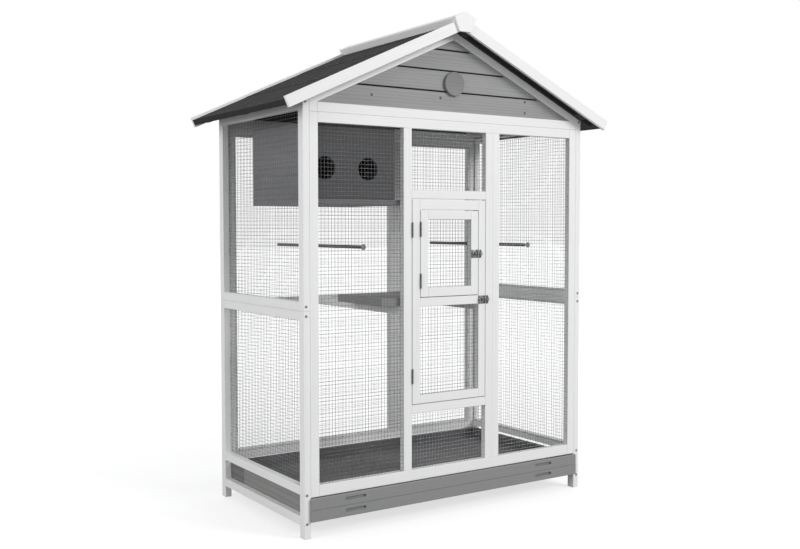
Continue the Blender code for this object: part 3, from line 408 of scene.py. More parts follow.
def bridge(bm, one, other, closed=True):
    """Faces between two rows of points, or between a row and a single point."""
    count = max(len(one), len(other))
    for i in range(count if closed else count - 1):
        corners = (one[i % len(one)], one[(i + 1) % len(one)],
                   other[(i + 1) % len(other)], other[i % len(other)])
        bm.faces.new(list(dict.fromkeys(corners)))


def bevel(bm, edges, width):
    bmesh.ops.bevel(bm, geom=edges, offset=width, segments=2, profile=0.5, affect="EDGES", clamp_overlap=True)


def eased(bm, width):
    """Rounds every sharp edge over."""
    bmesh.ops.recalc_face_normals(bm, faces=bm.faces)
    bevel(bm, [e for e in bm.edges if len(e.link_faces) == 2 and e.calc_face_angle() > radians(25)], width)
    return bm


def sawn(loops, y, round_over=ROUND_OVER):
    """A board cut to an outline in x and z, with any holes given as further loops."""
    bm = bmesh.new()
    near, far = ([bm.verts.new((x, face, z)) for loop in loops for x, z in loop] for face in y)
    if len(loops) == 1:
        fills = [range(len(near))]
    else:
        fills = tessellate_polygon([[Vector((x, z, 0)) for x, z in loop] for loop in loops])
    for fill in fills:
        bm.faces.new([near[i] for i in fill])
        bm.faces.new([far[i] for i in reversed(fill)])
    first = 0
    for loop in loops:
        last = first + len(loop)
        bridge(bm, near[first:last], far[first:last])
        first = last
    return eased(bm, round_over)


def turned(profile, start, end, sides=24):
    """A turned form: (radius, height) pairs set up from start towards end."""
    bm = bmesh.new()
    rings = [[bm.verts.new((*point, height)) for point in circle(0, 0, radius, sides if radius > 1e-6 else 1)]
             for radius, height in profile]
    for lower, upper in zip(rings, rings[1:]):
        bridge(bm, lower, upper)
    bmesh.ops.recalc_face_normals(bm, faces=bm.faces)
    turn = (Vector(end) - Vector(start)).to_track_quat("Z", "Y").to_matrix().to_4x4()
    bm.transform(Matrix.Translation(start) @ turn)
    return bm


def rod(radius, start, end, sides=16, chamfer=0.0004):
    """A round bar with chamfered ends."""
    length = (Vector(end) - Vector(start)).length
    profile = ((0, 0), (radius - chamfer, 0), (radius, chamfer), (radius, length - chamfer),
               (radius - chamfer, length), (0, length))
    return turned(profile, start, end, sides)


def circle(x, z, radius, sides=40):
    angles = (2 * pi * i / sides for i in range(sides))
    return [(x + radius * cos(a), z + radius * sin(a)) for a in angles]


def half_round(x, z, radius, count, way):
    """Half a circle from its top to its foot, bulging towards +x or -x."""
    return [(x + way * radius * sin(a), z + radius * cos(a)) for a in steps(0.0, pi, count + 1)]


def carry_vectors(mesh, label, rows):
    """Gives each point of a mesh its own vector."""
    layer = mesh.attributes.new(label, "FLOAT_VECTOR", "POINT")
    layer.data.foreach_set("vector", [part for row in rows for part in row])


def carry_numbers(mesh, label, values):
    """Gives each point of a mesh its own number."""
    layer = mesh.attributes.new(label, "FLOAT", "POINT")
    layer.data.foreach_set("value", values)


def new_object(name, data):
    obj = bpy.data.objects.new(name, data)
    bpy.context.scene.collection.objects.link(obj)
    return obj


class Work:
    """The forms of one piece, gathered before they become a mesh."""

    def __init__(self):
        self.points = []
        self.faces = []
        self.place = []
        self.half = []
        self.seed = []

    def add(self, bm, grain="z", axes=None):
        """Adds a form and notes where each point lies along the form's own grain."""
        axes = axes or GRAIN[grain]
        bm.verts.index_update()
        points = [v.co.copy() for v in bm.verts]
        along = [axes @ p for p in points]
        low, high = (Vector([end(p[i] for p in along) for i in range(3)]) for end in (min, max))
        first = len(self.points)
        self.faces += [[first + v.index for v in f.verts] for f in bm.faces]
        self.points += points
        self.place += [p - (low + high) / 2 for p in along]
        self.half += [(high - low) / 2] * len(points)
        self.seed += [chance.random()] * len(points)
        bm.free()
        return self

    def timber(self, x, y, z, grain):
        return self.add(squared(x, y, z), grain)

    def stiles(self, y, z, *spans):
        """Timbers that stand, one for each span along x."""
        for x in spans:
            self.timber(x, y, z, "z")

    def rails(self, y, x, *spans):
        """Timbers that lie along x, one for each span along z."""
        for z in spans:
            self.timber(x, y, z, "x")

    def mesh(self, name):
        mesh = bpy.data.meshes.new(name)
        mesh.from_pydata(self.points, [], self.faces)
        carry_vectors(mesh, "timber_place", self.place)
        carry_vectors(mesh, "timber_half", self.half)
        carry_numbers(mesh, "timber_seed", self.seed)
        return mesh

    def put(self, name, slot, *replaces, body="cabinet", finish=None, smooth=False):
        """Makes the forms one piece with its finish, which is the slot's unless another is named."""
        mesh = self.mesh(name)
        mesh.materials.append(FINISHES[finish or slot])
        if smooth:
            mesh.shade_smooth()
            mesh.set_sharp_from_angle(angle=radians(38))
        put(name, mesh, replaces, body)


def put(name, mesh, replaces=(), body="cabinet"):
    """Sets a piece on its body, in place of the model's own nodes."""
    obj = new_object(name, mesh)
    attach(obj, body)
    if replaces:
        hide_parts(*replaces)


# Frames

def make_side_frames():
    """Each side's lower frame with its legs, and its upper frame with tops that follow the roof."""
    stiles = ((FRONT, FRONT + SIDE_STILE), (REAR - SIDE_STILE, REAR))
    inner = (stiles[0][1], stiles[1][0])
    second_rail, head_rail = 0.142, 1.395
    for label, side in SIDES:
        x = sorted((side * SIDE_IN, side * SIDE_OUT))
        lower = Work()
        for y in stiles:
            lower.add(leg(x, y, (0.0, LOWER_TOP)), "z")
        for foot in (FOOT_RAIL[0], second_rail, LOWER_TOP - SIDE_RAIL):
            lower.timber(x, inner, (foot, foot + SIDE_RAIL), "y")
        lower.put(f"side_{label}_lower_timbers", "white_timber", f"side_{label}_lower_frame")
        upper = Work()
        for y in stiles:
            upper.add(bevelled_top(x, UPPER_FOOT, y), "z")
        upper.timber(x, inner, (UPPER_FOOT, UPPER_FOOT + SIDE_RAIL), "y")
        upper.add(bevelled_top(x, head_rail, inner), "y")
        upper.put(f"side_{label}_upper_timbers", "white_timber", f"side_{label}_upper_frame")


def leg(x, y, z):
    """A squared timber whose foot is rounded more than its other edges."""
    bm = squared(x, y, z)
    near_foot, foot_round = z[0] + 0.0015, 0.0025
    bevel(bm, [e for e in bm.edges if max(v.co.z for v in e.verts) < near_foot], foot_round)
    return bm


def bevelled_top(x, foot, y):
    """A side timber whose top follows the roof."""
    tops = [(end, GABLE_LINE - SEAM - SLOPE * abs(end)) for end in x]
    return sawn([((x[0], foot), (x[1], foot), tops[1], tops[0])], y)


def make_front_frame():
    work = Work()
    work.stiles(FRONT_Y, (SILL[0], TOP_RAIL[1]), *END_STILES)
    work.rails(FRONT_Y, BETWEEN_ENDS, SILL, TOP_RAIL)
    work.stiles(FRONT_Y, (SILL[1], TOP_RAIL[0]), MIDDLE_STILE, *LATCH_STILES)
    work.rails(FRONT_Y, (MIDDLE_STILE[1], LATCH_STILES[0][0]), HEADER, DOOR_TOP_RAIL)
    work.put("front_timbers", "white_timber", "front_frame")


def make_rear_frame():
    work = Work()
    work.stiles(REAR_Y, (FOOT_RAIL[0], TOP_RAIL[1]), *END_STILES)
    work.rails(REAR_Y, BETWEEN_ENDS, FOOT_RAIL, SILL, REAR_MIDDLE_RAIL, TOP_RAIL)
    for x in LATCH_STILES:
        for z in ((SILL[1], REAR_MIDDLE_RAIL[0]), (REAR_MIDDLE_RAIL[1], TOP_RAIL[0])):
            work.timber(x, REAR_Y, z, "z")
    work.put("rear_timbers", "white_timber", "rear_frame")


def slope_axes(side, grain_down=True):
    """Directions on a slope: along the ridge, out of it, and down it, with the grain's way last."""
    rows = ((0, 1, 0), (side * sin(ANGLE), 0, cos(ANGLE)), (side * cos(ANGLE), 0, -sin(ANGLE)))
    return Matrix(rows if grain_down else rows[::-1])


def make_gable_frames():
    foot, top = GABLE_RAIL
    corner = (GABLE_INNER - top) / SLOPE
    mitre = 0.0002
    for (label, _), y in zip(ENDS, (FRONT_Y, REAR_Y)):
        work = Work()
        work.rails(y, (-corner, corner), GABLE_RAIL)
        for _, side in SIDES:
            loop = ((side * FRAME_X, foot), (side * corner, foot), (side * corner, top),
                    (side * mitre, GABLE_INNER), (side * mitre, GABLE_LINE),
                    (side * FRAME_X, GABLE_LINE - SLOPE * FRAME_X))
            work.add(sawn([loop], y), axes=slope_axes(side))
        work.put(f"gable_{label}_timbers", "white_timber", f"gable_{label}_frame")


GABLE_RECESS = 0.008


def make_gable_boards():
    """At each end four boards with open shadow gaps, in front of a backing painted near-black as painted
    shade seen through the gaps.
    """
    gap, tip, board, backing = 0.0055, 0.004, 0.0075, (0.0078, 0.012)
    lines = (1.4203, 1.4895, 1.5625, 1.634, 1.6700)
    for label, end in ENDS:
        face = REAR - GABLE_RECESS
        y = sorted((end * face, end * (face - board)))
        work = Work()
        for number, (low, high) in enumerate(zip(lines, lines[1:])):
            foot = low + (gap / 2 if number else 0)
            head = high - gap / 2 if number < 3 else high
            a, b = board_reach(foot), board_reach(head)
            loop = [(-a, foot), (a, foot), (b, head), (-b, head)]
            if b < tip:
                loop = [(-a, foot), (a, foot), (0, head - 0.001)]
            work.add(sawn([loop], y), "x")
        work.put(f"gable_{label}_panelling", "grey_timber", f"gable_{label}_boards", finish="gable_timber")
        # The backing is painted near-black: painted shade behind the gaps.
        y = sorted(end * (face - depth) for depth in backing)
        reach = board_reach(lines[0])
        work = Work().add(sawn([[(-reach, lines[0]), (reach, lines[0]), (0, lines[-1])]], y), "x")
        work.put(f"gable_{label}_backing", "grey_timber", finish="dark_batten")


def board_reach(z):
    """Half the width that a gable board has at a height, a little short of the frame."""
    clear = 0.0016
    return max((GABLE_INNER - z) / SLOPE - clear, 0.0)


def make_gable_disc():
    """A round disc on the front boards, with a rounded rim."""
    face, z = FRONT + GABLE_RECESS - SEAM, 1.5185
    profile = ((0, 0), (0.0405, 0), (0.0418, 0.0010), (0.0420, 0.0022), (0.0420, 0.0078),
               (0.0416, 0.0092), (0.0405, 0.0100), (0.0385, 0.0096), (0, 0.0096))
    disc = Work().add(turned(profile, (0, face, z), (0, face - 0.010, z), 64), "x")
    disc.put("gable_roundel", "grey_timber", "gable_disc", finish="roundel_timber", smooth=True)


# Roof

def roof_matrix(side):
    _, out, down = slope_axes(side)
    turn = Matrix((down, (0, 1, 0), out)).transposed().to_4x4()
    return Matrix.Translation((0, 0, FELT_LINE)) @ turn


def slope_point(side, u, w):
    at = roof_matrix(side) @ Vector((u, 0, w))
    return at.x, at.z


def make_roof_deck():
    """Deck boards along the ridge, on battens and rafters, all painted near-black as painted shade under the
    roof.
    """
    top, under, start, joint = -0.0023, -0.0113, 0.0055, 0.0004
    eave = EAVE_X / cos(ANGLE) + top
    foot = (GABLE_LINE + SEAM - FELT_LINE) * cos(ANGLE)
    wall, batten_half = (SIDE_IN + SIDE_OUT) / 2 / cos(ANGLE), 0.020
    whole = (-ROOF_END, ROOF_END)
    on_wall = (wall - batten_half, wall + batten_half)
    ridge_batten, eave_batten = (0.016, 0.056), (eave - 0.030, eave)
    boards = [((a + joint, b - joint), whole, (under, top), 0.0008, False)
              for a, b in zip(steps(start, eave, 10), steps(start, eave, 10)[1:])]
    battens = [(eave_batten, whole, (under - 0.0087, under), ROUND_OVER, False),
               (on_wall, whole, (foot, under), ROUND_OVER, False),
               (ridge_batten, whole, (foot, under), ROUND_OVER, False)]
    verge, rafter = 0.0055, 0.018
    rafters = [(u, (middle - half, middle + half), (foot, under), ROUND_OVER, True)
               for middle, half in ((verge - ROOF_END, verge), (ROOF_END - verge, verge), (0.0, rafter),
                                    (FRONT + TIMBER / 2, rafter), (REAR - TIMBER / 2, rafter))
               for u in ((ridge_batten[1], on_wall[0]), (on_wall[1], eave_batten[0]))]
    for label, side in SIDES:
        work = Work()
        for u, y, w, round_over, grain_down in (*boards, *battens, *rafters):
            timber = squared(u, y, w, round_over)
            timber.transform(roof_matrix(side))
            work.add(timber, axes=slope_axes(side, grain_down))
        work.put(f"roof_{label}_deck", "dark_batten", f"roof_{label}_board")


def make_felt():
    """Three lengths of felt on each slope, each lapped over the one below."""
    lengths = ((0.490, EAVE_X / cos(ANGLE)), (0.235, 0.520), (0.0, 0.265))
    work = Work()
    for _, side in SIDES:
        for number, (low, high) in enumerate(lengths):
            work.add(felt_length(side, low, high, number), "y")
    work.put("roof_felt_lengths", "felt", "roof_felt")


def felt_length(side, low, high, number):
    """A thin sheet: the lowest turns down at the eave, and the others' lower edges are faintly wavy."""
    bm = bmesh.new()
    thick, lip, lift = 0.002, 0.0197, 0.0011
    rows = []
    for i, y in enumerate(steps(-ROOF_END, ROOF_END, 49)):
        if number:
            edge = high + 0.0016 * sin(i * 1.9 + number) + 0.0009 * sin(i * 0.53)
            section = ((low, -thick), (edge, lift * 0.6 - thick), (edge, lift), (low, 0.0))
        else:
            section = ((low, -thick), (high - thick, -thick), (high - thick, -lip), (high, -lip),
                       (high, 0.0), (low, 0.0))
        rows.append([bm.verts.new((u, y, w)) for u, w in section])
    for one, other in zip(rows, rows[1:]):
        bridge(bm, one, other)
    bm.faces.new(rows[0])
    bm.faces.new(list(reversed(rows[-1])))
    bm.transform(roof_matrix(side))
    bmesh.ops.recalc_face_normals(bm, faces=bm.faces)
    return bm


def cap_side(side, clear=0.0):
    """The outer edge of the ridge cap: its top and its foot on the felt."""
    u = (CAP_X + clear) / cos(ANGLE)
    top = (CAP_TOP - FELT_LINE) * cos(ANGLE)
    shift = top * SLOPE
    return slope_point(side, u - shift, top), slope_point(side, u - shift, SEAM - clear)


def make_ridge_cap():
    work = Work()
    end, mitre, under = BARGE_FACE - SEAM, 0.0001, FELT_LINE + 0.0016
    for _, side in SIDES:
        loop = ((side * mitre, CAP_TOP), *cap_side(side), (side * mitre, under))
        work.add(sawn([loop], (-end, end)), "y")
    work.put("ridge_boards", "white_timber", "ridge_cap")


def make_barges():
    """Boards along the ends of the roof, notched under the ridge cap."""
    mitre = 0.00015
    top_w = (BARGE_TOP - FELT_LINE) * cos(ANGLE)
    foot_w = (BARGE_FOOT - FELT_LINE) * cos(ANGLE)
    tail = (TAIL_X - top_w * sin(ANGLE)) / cos(ANGLE)
    for end, way in ENDS:
        y = sorted((way * BARGE_FACE, way * BARGE_BACK))
        for label, side in SIDES:
            cap_u = abs(cap_side(side, SEAM)[1][0]) / cos(ANGLE)
            loop = ((side * mitre, BARGE_FOOT - SLOPE * mitre), slope_point(side, tail, foot_w),
                    slope_point(side, tail, top_w), slope_point(side, cap_u, top_w),
                    slope_point(side, cap_u, 0.0), (side * mitre, FELT_LINE - SLOPE * mitre))
            work = Work().add(sawn([loop], y), axes=slope_axes(side))
            work.put(f"barge_board_{end}_{label}", "white_timber", f"barge_{end}_{label}")


def make_keystones():
    loop = ((-0.0245, 1.6893), (0.0245, 1.6893), (0.047, 1.7380), (0.0, 1.7595), (-0.047, 1.7380))
    back, face = BARGE_FACE + SEAM, 0.393
    for end, way in ENDS:
        work = Work().add(sawn([loop], sorted((way * back, way * face))), "z")
        work.put(f"ridge_plate_{end}", "white_timber", f"keystone_{end}")


# Inside

def make_nest_box():
    """A floor board that runs on to the middle stile, walls, a lid, and a front with two holes."""
    wall, hole, hole_z = 0.012, 0.038, 1.210
    front, back = FRONT + TIMBER + SEAM, 0.095
    left, right, low, top = -0.5778, -0.2357, 1.1093, 1.357
    face = front + wall + SEAM
    work = Work()
    work.timber((left, MIDDLE_STILE[1]), (front, back), (1.0916, low), "x")
    for x in ((left, left + wall), (right - wall, right), (-0.432, -0.420)):
        work.timber(x, (face, back - wall), (low, top - wall), "y")
    work.timber((left, right), (back - wall, back), (low, top - wall), "x")
    work.timber((left, right), (face, back), (top - wall, top), "x")
    work.put("nest_box_boards", "nest_timber", "nest_box")
    outline = ((left, low + SEAM), (right, low + SEAM), (right, top), (left, top))
    holes = [circle(x, hole_z, hole) for x in (-0.5085, -0.3434)]
    board = Work().add(sawn([outline, *holes], (front, front + wall)), "x")
    # The front takes the darker copy of the nest's stain: painted shade.
    board.put("nest_front_board", "nest_timber", "nest_front", finish="nest_front")


def make_perches():
    """Dowels from front to rear, each held by a screw and a washer on its net."""
    z, net, thick = 0.950, -0.3237, 0.0012
    washer = ((0, 0), (0.0098, 0), (0.0100, 0.0003), (0.0098, thick), (0, thick))
    for label, x in (("left", -0.374), ("right", 0.346)):
        dowel = rod(0.006, (x, FRONT + TIMBER, z), (x, REAR - TIMBER - 0.0022, z), 20, 0.0010)
        Work().add(dowel, "y").put(f"perch_{label}_dowel", "perch_timber", f"perch_{label}", smooth=True)
        fixing = Work()
        fixing.add(turned(washer, (x, net + thick, z), (x, net, z), 28))
        fixing.add(rod(0.0025, (x, net, z), (x, FRONT + TIMBER + 0.004, z), 14))
        fixing.put(f"perch_{label}_fixing", "wire", finish="zinc_steel", smooth=True)


def make_platform():
    board = Work().timber(*zip(*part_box("platform")), "x")
    board.put("platform_board", "grey_timber", "platform")
    for label, _ in SIDES:
        bearer = Work().timber(*zip(*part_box(f"bearer_{label}")), "y")
        bearer.put(f"platform_bearer_{label}", "white_timber", f"bearer_{label}")


# Trays

SLOT_X = (-0.415, 0.415)
SLOT_RADIUS = 0.005
SLOT_REACH = 0.036


def slot_loop(x, z, radius):
    """A finger slot with round ends, 82 by 10 mm."""
    left = half_round(x - SLOT_REACH, z, radius, 8, -1)
    return half_round(x + SLOT_REACH, z, radius, 8, 1) + left[::-1]


def make_tray(label, foot, head, side_top, rear_top, slot_z):
    """A proud front with two blind finger slots, and a pan of thin boards behind it."""
    body = f"{label}_tray"
    proud, recess, reach = 0.010, 0.0075, 0.583
    front, back = FRONT - proud, FRONT - SEAM
    outline = ((-reach, foot), (reach, foot), (reach, head), (-reach, head))
    slots = [slot_loop(x, slot_z, SLOT_RADIUS) for x in SLOT_X]
    work = Work().add(sawn([outline, *slots], (front, back), 0.0010), "x")
    for x in SLOT_X:
        floor = slot_loop(x, slot_z, SLOT_RADIUS + 0.0012)
        work.add(sawn([floor], (front + recess, back - 0.0002), 0.0002), "x")
    work.put(f"tray_{label}_front", "grey_timber", body=body, finish="tray_timber")
    half, wall, rear = 0.5757, 0.0025, 0.304
    low = foot + wall
    joints = steps(back, rear, 9)
    pan = Work()
    for near, far in zip(joints, joints[1:]):
        pan.timber((-half, half), (near, far - SEAM), (foot, low), "x")
    pan.timber((-half, half), (rear - wall, rear), (low, rear_top), "x")
    for x in ((-half, wall - half), (half - wall, half)):
        pan.timber(x, (back, rear - wall), (low, side_top), "y")
    pan.put(f"tray_{label}_pan", "grey_timber", f"tray_{label}", body=body, finish="floor_timber")


def make_runners():
    """A board inside each side, in two lengths with the rear one darker, and the ledges that the trays run
    on.
    """
    end, rear, top = 0.186, 0.3047, 0.1355
    for label, side in SIDES:
        board, ledge = (sorted((side * a, side * b)) for a, b in ((FRAME_X, 0.5767), (0.5767, 0.5577)))
        work = Work().timber(board, (-0.317, end), (0.052, top), "y")
        for z in ((0.048, 0.056), (0.0825, 0.094)):
            work.timber(ledge, (-0.302, rear), z, "y")
        work.put(f"tray_runner_{label}_boards", "grey_timber", f"tray_runner_{label}", finish="runner_timber")
        # The rear length takes the nest's darker finish.
        work = Work().timber(board, (end + SEAM, rear), (0.042, top), "y")
        work.put(f"tray_runner_{label}_end", "grey_timber", finish="nest_timber")


# Doors

def make_door(body, stiles, rails):
    work = Work()
    work.stiles(FRONT_Y, (rails[0][0], rails[-1][1]), *stiles)
    work.rails(FRONT_Y, (stiles[0][1], stiles[1][0]), *rails)
    work.put(f"{body}_timbers", "white_timber", f"{body}_frame", body=body)


DOOR_GAP = 0.003
LEAF = 0.001
LEAF_BACK = 0.020
HINGE_HALF = 0.025
KNUCKLE = 0.0024
PIN_Y = FRONT - 0.0035


# How deep behind the pin a leaf starts, and where the curls that join it to its knuckles lie.
FIXED_LEAF = (0.0036, (0.0012, 0.0040))
MOVING_LEAF = (0.0038, (0.0016, 0.0042))


def make_leaf(x, pin, z, knuckles, depths):
    """A leaf in its gap, its knuckles on the pin, and the curls that join them."""
    y = pin[1]
    front, curl = depths
    work = Work().add(squared(x, (y + front, y + LEAF_BACK), z, THIN_EDGE))
    for low, high in knuckles:
        work.add(rod(KNUCKLE, (*pin, low), (*pin, high), 20, 0.0005))
        work.add(squared(x, (y + curl[0], y + curl[1]), (low, high), THIN_EDGE))
    return work


def make_hinge(name, gap, z, fixed_body, moving_body):
    """Two leaves in the gap beside a door, with a pin whose domed ends show."""
    pin = (gap + DOOR_GAP / 2, PIN_Y)
    foot, head = z - HINGE_HALF, z + HINGE_HALF
    low, high = foot + 2 * HINGE_HALF / 3, head - 2 * HINGE_HALF / 3
    x = gap + SEAM
    z = (foot, head)
    fixed = make_leaf((x, x + LEAF), pin, z, ((foot, low), (high, head)), FIXED_LEAF)
    dome = ((0, 0), (KNUCKLE, 0), (KNUCKLE, 0.0005), (0.0018, 0.0011), (0.0008, 0.0014), (0, 0.0015))
    for end, way in ((head, 1), (foot, -1)):
        fixed.add(turned(dome, (*pin, end), (*pin, end + way), 16))
    x = gap + DOOR_GAP - SEAM
    moving = make_leaf((x - LEAF, x), pin, z, ((low + SEAM, high - SEAM),), MOVING_LEAF)
    for work, label, body in ((fixed, "fixed", fixed_body), (moving, "moving", moving_body)):
        work.put(f"{name}_{label}", "black_steel", f"{name}_{label}_leaf", body=body, finish="hinge_steel",
                 smooth=True)


def make_hinges():
    for door, gap, bodies, heights in (
            ("main", MIDDLE_STILE[1], ("cabinet", "main_door"), (0.5000, 1.0066)),
            ("small", MAIN_STILES[0][1], ("main_door", "small_door"), (0.8300, 1.0088))):
        for label, z in zip(("lower", "upper"), heights):
            make_hinge(f"{door}_hinge_{label}", gap, z, *bodies)


# Each bolt: its door's edge, the edge that it locks to, its height, its door, and its keeper's body.
BOLTS = (
    ("main_bolt", MAIN_STILES[1][1], LATCH_STILES[0][0], 0.7547, "main_door", "cabinet"),
    ("small_bolt", SMALL_STILES[1][1], MAIN_STILES[1][0], 0.9208, "small_door", "main_door"),
)
# Depths of the rod and the plates, and how far straps and ribs reach into a plate.
ROD_Y = FRONT - 0.0052
PLATE_Y = (FRONT - SEAM - 0.001, FRONT - SEAM)
INTO_PLATE = PLATE_Y[0] + 0.0002
PLATE_EDGE = 0.0003
PLATE_HALF = 0.015
STRAP = 0.0040
STRAP_THICK = 0.0009
STRAP_WIDTH = 0.0058
RIB_Z = 0.0062
RIB_HALF = 0.0006
BOLT_ROD = 0.0024
SCREW_Z = 0.0105
# In x, from the door's edge, and for the keeper from the edge that the door locks to.
CASE_X = (-0.032, -0.0008)
KNOB_X = -0.0245
CASE_SCREWS_X = (-0.0275, -0.0055)
KEEPER_X = (0.001, 0.0155)
KEEPER_SCREWS_X = 0.0060


def strap(start, width, z):
    """A strap bent over the rod, with its two feet on the plate."""
    bm = bmesh.new()
    rings = []
    for x in (start, start + width):
        for radius in (STRAP, STRAP - STRAP_THICK):
            path = [(INTO_PLATE, z + radius), *half_round(ROD_Y, z, radius, 10, -1), (INTO_PLATE, z - radius)]
            rings.append([bm.verts.new((x, *point)) for point in path])
    outer, inner, far_outer, far_inner = rings
    for one, other in ((outer, far_outer), (inner, far_inner), (outer, inner), (far_outer, far_inner)):
        bridge(bm, one, other, closed=False)
    for i in (0, -1):
        bm.faces.new((outer[i], far_outer[i], far_inner[i], inner[i]))
    bmesh.ops.recalc_face_normals(bm, faces=bm.faces)
    return bm


def make_bolt(name, edge, strike, z, body, keeper_body):
    """A plate with three straps and two ribs, a rod with its knob, and the keeper that it enters."""
    x = [edge + end for end in CASE_X]
    low, high = z - PLATE_HALF, z + PLATE_HALF
    case = Work().add(squared(x, PLATE_Y, (low, high), PLATE_EDGE))
    for start in (x[0] + 0.0006, x[0] + 0.0126, x[1] - 0.0066):
        case.add(strap(start, STRAP_WIDTH, z))
    for rib in (z - RIB_Z, z + RIB_Z):
        case.add(squared((x[0] + 0.0015, x[1] - 0.0015), (PLATE_Y[0] - 0.0007, INTO_PLATE),
                         (rib - RIB_HALF, rib + RIB_HALF), PLATE_EDGE))
    case.put(f"{name}_case", "zinc_steel", f"{name}_plate", body=body, smooth=True)
    ends = ((x[0] + 0.0012, ROD_Y, z), (edge - 0.0006, ROD_Y, z))
    slide = Work().add(rod(BOLT_ROD, *ends, 16, 0.0008))
    knob = ((0, 0), (0.0016, 0), (0.0014, 0.0035), (0.0020, 0.0055), (0.0023, 0.0075), (0.0020, 0.0095),
            (0, 0.0105))
    slide.add(turned(knob, (edge + KNOB_X, ROD_Y, z), (edge + KNOB_X, ROD_Y - 1, z), 18))
    slide.put(f"{name}_slide", "black_steel", f"{name}_rod", body=name, smooth=True)
    x = [strike + end for end in KEEPER_X]
    point = 0.006
    corner = x[1] - point
    loop = ((x[0], low), (corner, low), (x[1], z), (corner, high), (x[0], high))
    keeper = Work().add(sawn([loop], PLATE_Y, PLATE_EDGE))
    keeper.add(strap(x[0] + 0.0006, 0.0090, z))
    keeper.put(f"{name}_catch", "zinc_steel", f"{name}_keeper", body=keeper_body, smooth=True)


# What repeats: wire mesh, screws, staples and nails

def new_maker(name, inputs):
    """An empty Geometry Nodes tree that turns one geometry into another."""
    sockets = (("Geometry", "Geometry", None), *inputs)
    return new_tree("GeometryNodeTree", name, sockets, ("Geometry",), "Geometry")


def close_tree(tree, geometry, material, out):
    """Ends a tree with real geometry that carries its material."""
    real = add_node(tree, "GeometryNodeRealizeInstances", {"Geometry": geometry})[0]
    smooth = add_node(tree, "GeometryNodeSetShadeSmooth", {"Geometry": real})[0]
    done = add_node(tree, "GeometryNodeSetMaterial", {"Geometry": smooth, "Material": material})[0]
    feed(tree, out, {0: done})


def make_mesh_tree():
    """Welded mesh: upright wires with cross wires laid in front of them."""
    tree, given, out = new_maker("welded_mesh", (
        ("Width", "Float", 0.3), ("Height", "Float", 0.3), ("Uprights", "Int", 20),
        ("Cross Wires", "Int", 20), ("Wire Radius", "Float", 0.00045), ("Unevenness", "Float", 0.0003),
        ("Seed", "Int", 3), ("Finish", "Material", None),
    ))
    layers = []
    for count, length, other, axis, turn, depth in (("Uprights", "Height", "Width", 0, 0.0, 0.33),
                                                    ("Cross Wires", "Width", "Height", 2, pi / 2, -1.0)):
        step = maths(tree, "DIVIDE", given[other], maths(tree, "SUBTRACT", given[count], 1.0))
        line = add_node(tree, "GeometryNodeMeshLine", {
            "Count": given[count], "Start Location": vector(tree, {axis: times(tree, given[other], -0.5)}),
            "Offset": vector(tree, {axis: step}),
        })[0]
        shift = add_node(tree, "FunctionNodeRandomValue", {
            0: vector(tree, {axis: times(tree, given["Unevenness"], -1.0)}),
            1: vector(tree, {axis: given["Unevenness"]}), "Seed": given["Seed"],
        }, data_type="FLOAT_VECTOR")[0]
        moved = add_node(tree, "GeometryNodeSetPosition", {"Geometry": line, "Offset": shift})[0]
        wire = add_node(tree, "GeometryNodeMeshCylinder", {
            "Vertices": 6, "Side Segments": 10, "Radius": given["Wire Radius"], "Depth": given[length],
        }, fill_type="NGON")[0]
        wires = add_node(tree, "GeometryNodeInstanceOnPoints", {
            "Points": moved, "Instance": wire, "Rotation": (0.0, turn, 0.0),
        })[0]
        place = vector(tree, {1: times(tree, given["Wire Radius"], depth)})
        layers.append(add_node(tree, "GeometryNodeTransform", {"Geometry": wires, "Translation": place})[0])
    joined = tree.nodes.new("GeometryNodeJoinGeometry")
    for layer in layers:
        feed(tree, joined, {0: layer})
    close_tree(tree, joined.outputs[0], given["Finish"], out)
    return tree


def make_setting_tree():
    """Sets one pattern at each point, turned to face the way that the point says."""
    tree, given, out = new_maker("set_at_points", (
        ("Pattern", "Object", None), ("Size", "Float", 1.0), ("Loose Turn", "Float", pi), ("Seed", "Int", 5),
        ("Finish", "Material", None),
    ))
    facing, spin = (add_node(tree, "GeometryNodeInputNamedAttribute", {"Name": name}, data_type=kind)[0]
                    for name, kind in (("facing", "FLOAT_VECTOR"), ("spin", "FLOAT")))
    slack = add_node(tree, "FunctionNodeRandomValue", {
        2: times(tree, given["Loose Turn"], -1.0), 3: given["Loose Turn"], "Seed": given["Seed"],
    }, data_type="FLOAT")[1]
    aimed = add_node(tree, "FunctionNodeAlignRotationToVector", {"Vector": facing}, axis="Z")[0]
    roll = add_node(tree, "FunctionNodeAxisAngleToRotation", {
        "Axis": (0.0, 0.0, 1.0), "Angle": maths(tree, "ADD", spin, slack),
    })[0]
    turned_to = add_node(tree, "FunctionNodeRotateRotation", {
        "Rotation": aimed, "Rotate By": roll,
    }, rotation_space="LOCAL")[0]
    set_out = add_node(tree, "GeometryNodeInstanceOnPoints", {
        "Points": given["Geometry"], "Rotation": turned_to,
        "Instance": add_node(tree, "GeometryNodeObjectInfo", {"Object": given["Pattern"]})["Geometry"],
        "Scale": vector(tree, {axis: given["Size"] for axis in range(3)}),
    })[0]
    close_tree(tree, set_out, given["Finish"], out)
    return tree


def grown(tree, base, settings):
    """The plain mesh that a tree makes from a base mesh with these inputs."""
    holder = new_object("holder", base)
    step = holder.modifiers.new("grow", "NODES")
    step.node_group = tree
    for item in tree.interface.items_tree:
        if item.item_type == "SOCKET" and item.name in settings:
            step[item.identifier] = settings[item.name]
    ready = bpy.context.evaluated_depsgraph_get()
    made = holder.evaluated_get(ready)
    mesh = bpy.data.meshes.new_from_object(made, preserve_all_data_layers=True, depsgraph=ready)
    holder.modifiers.clear()
    bpy.data.objects.remove(holder)
    return mesh


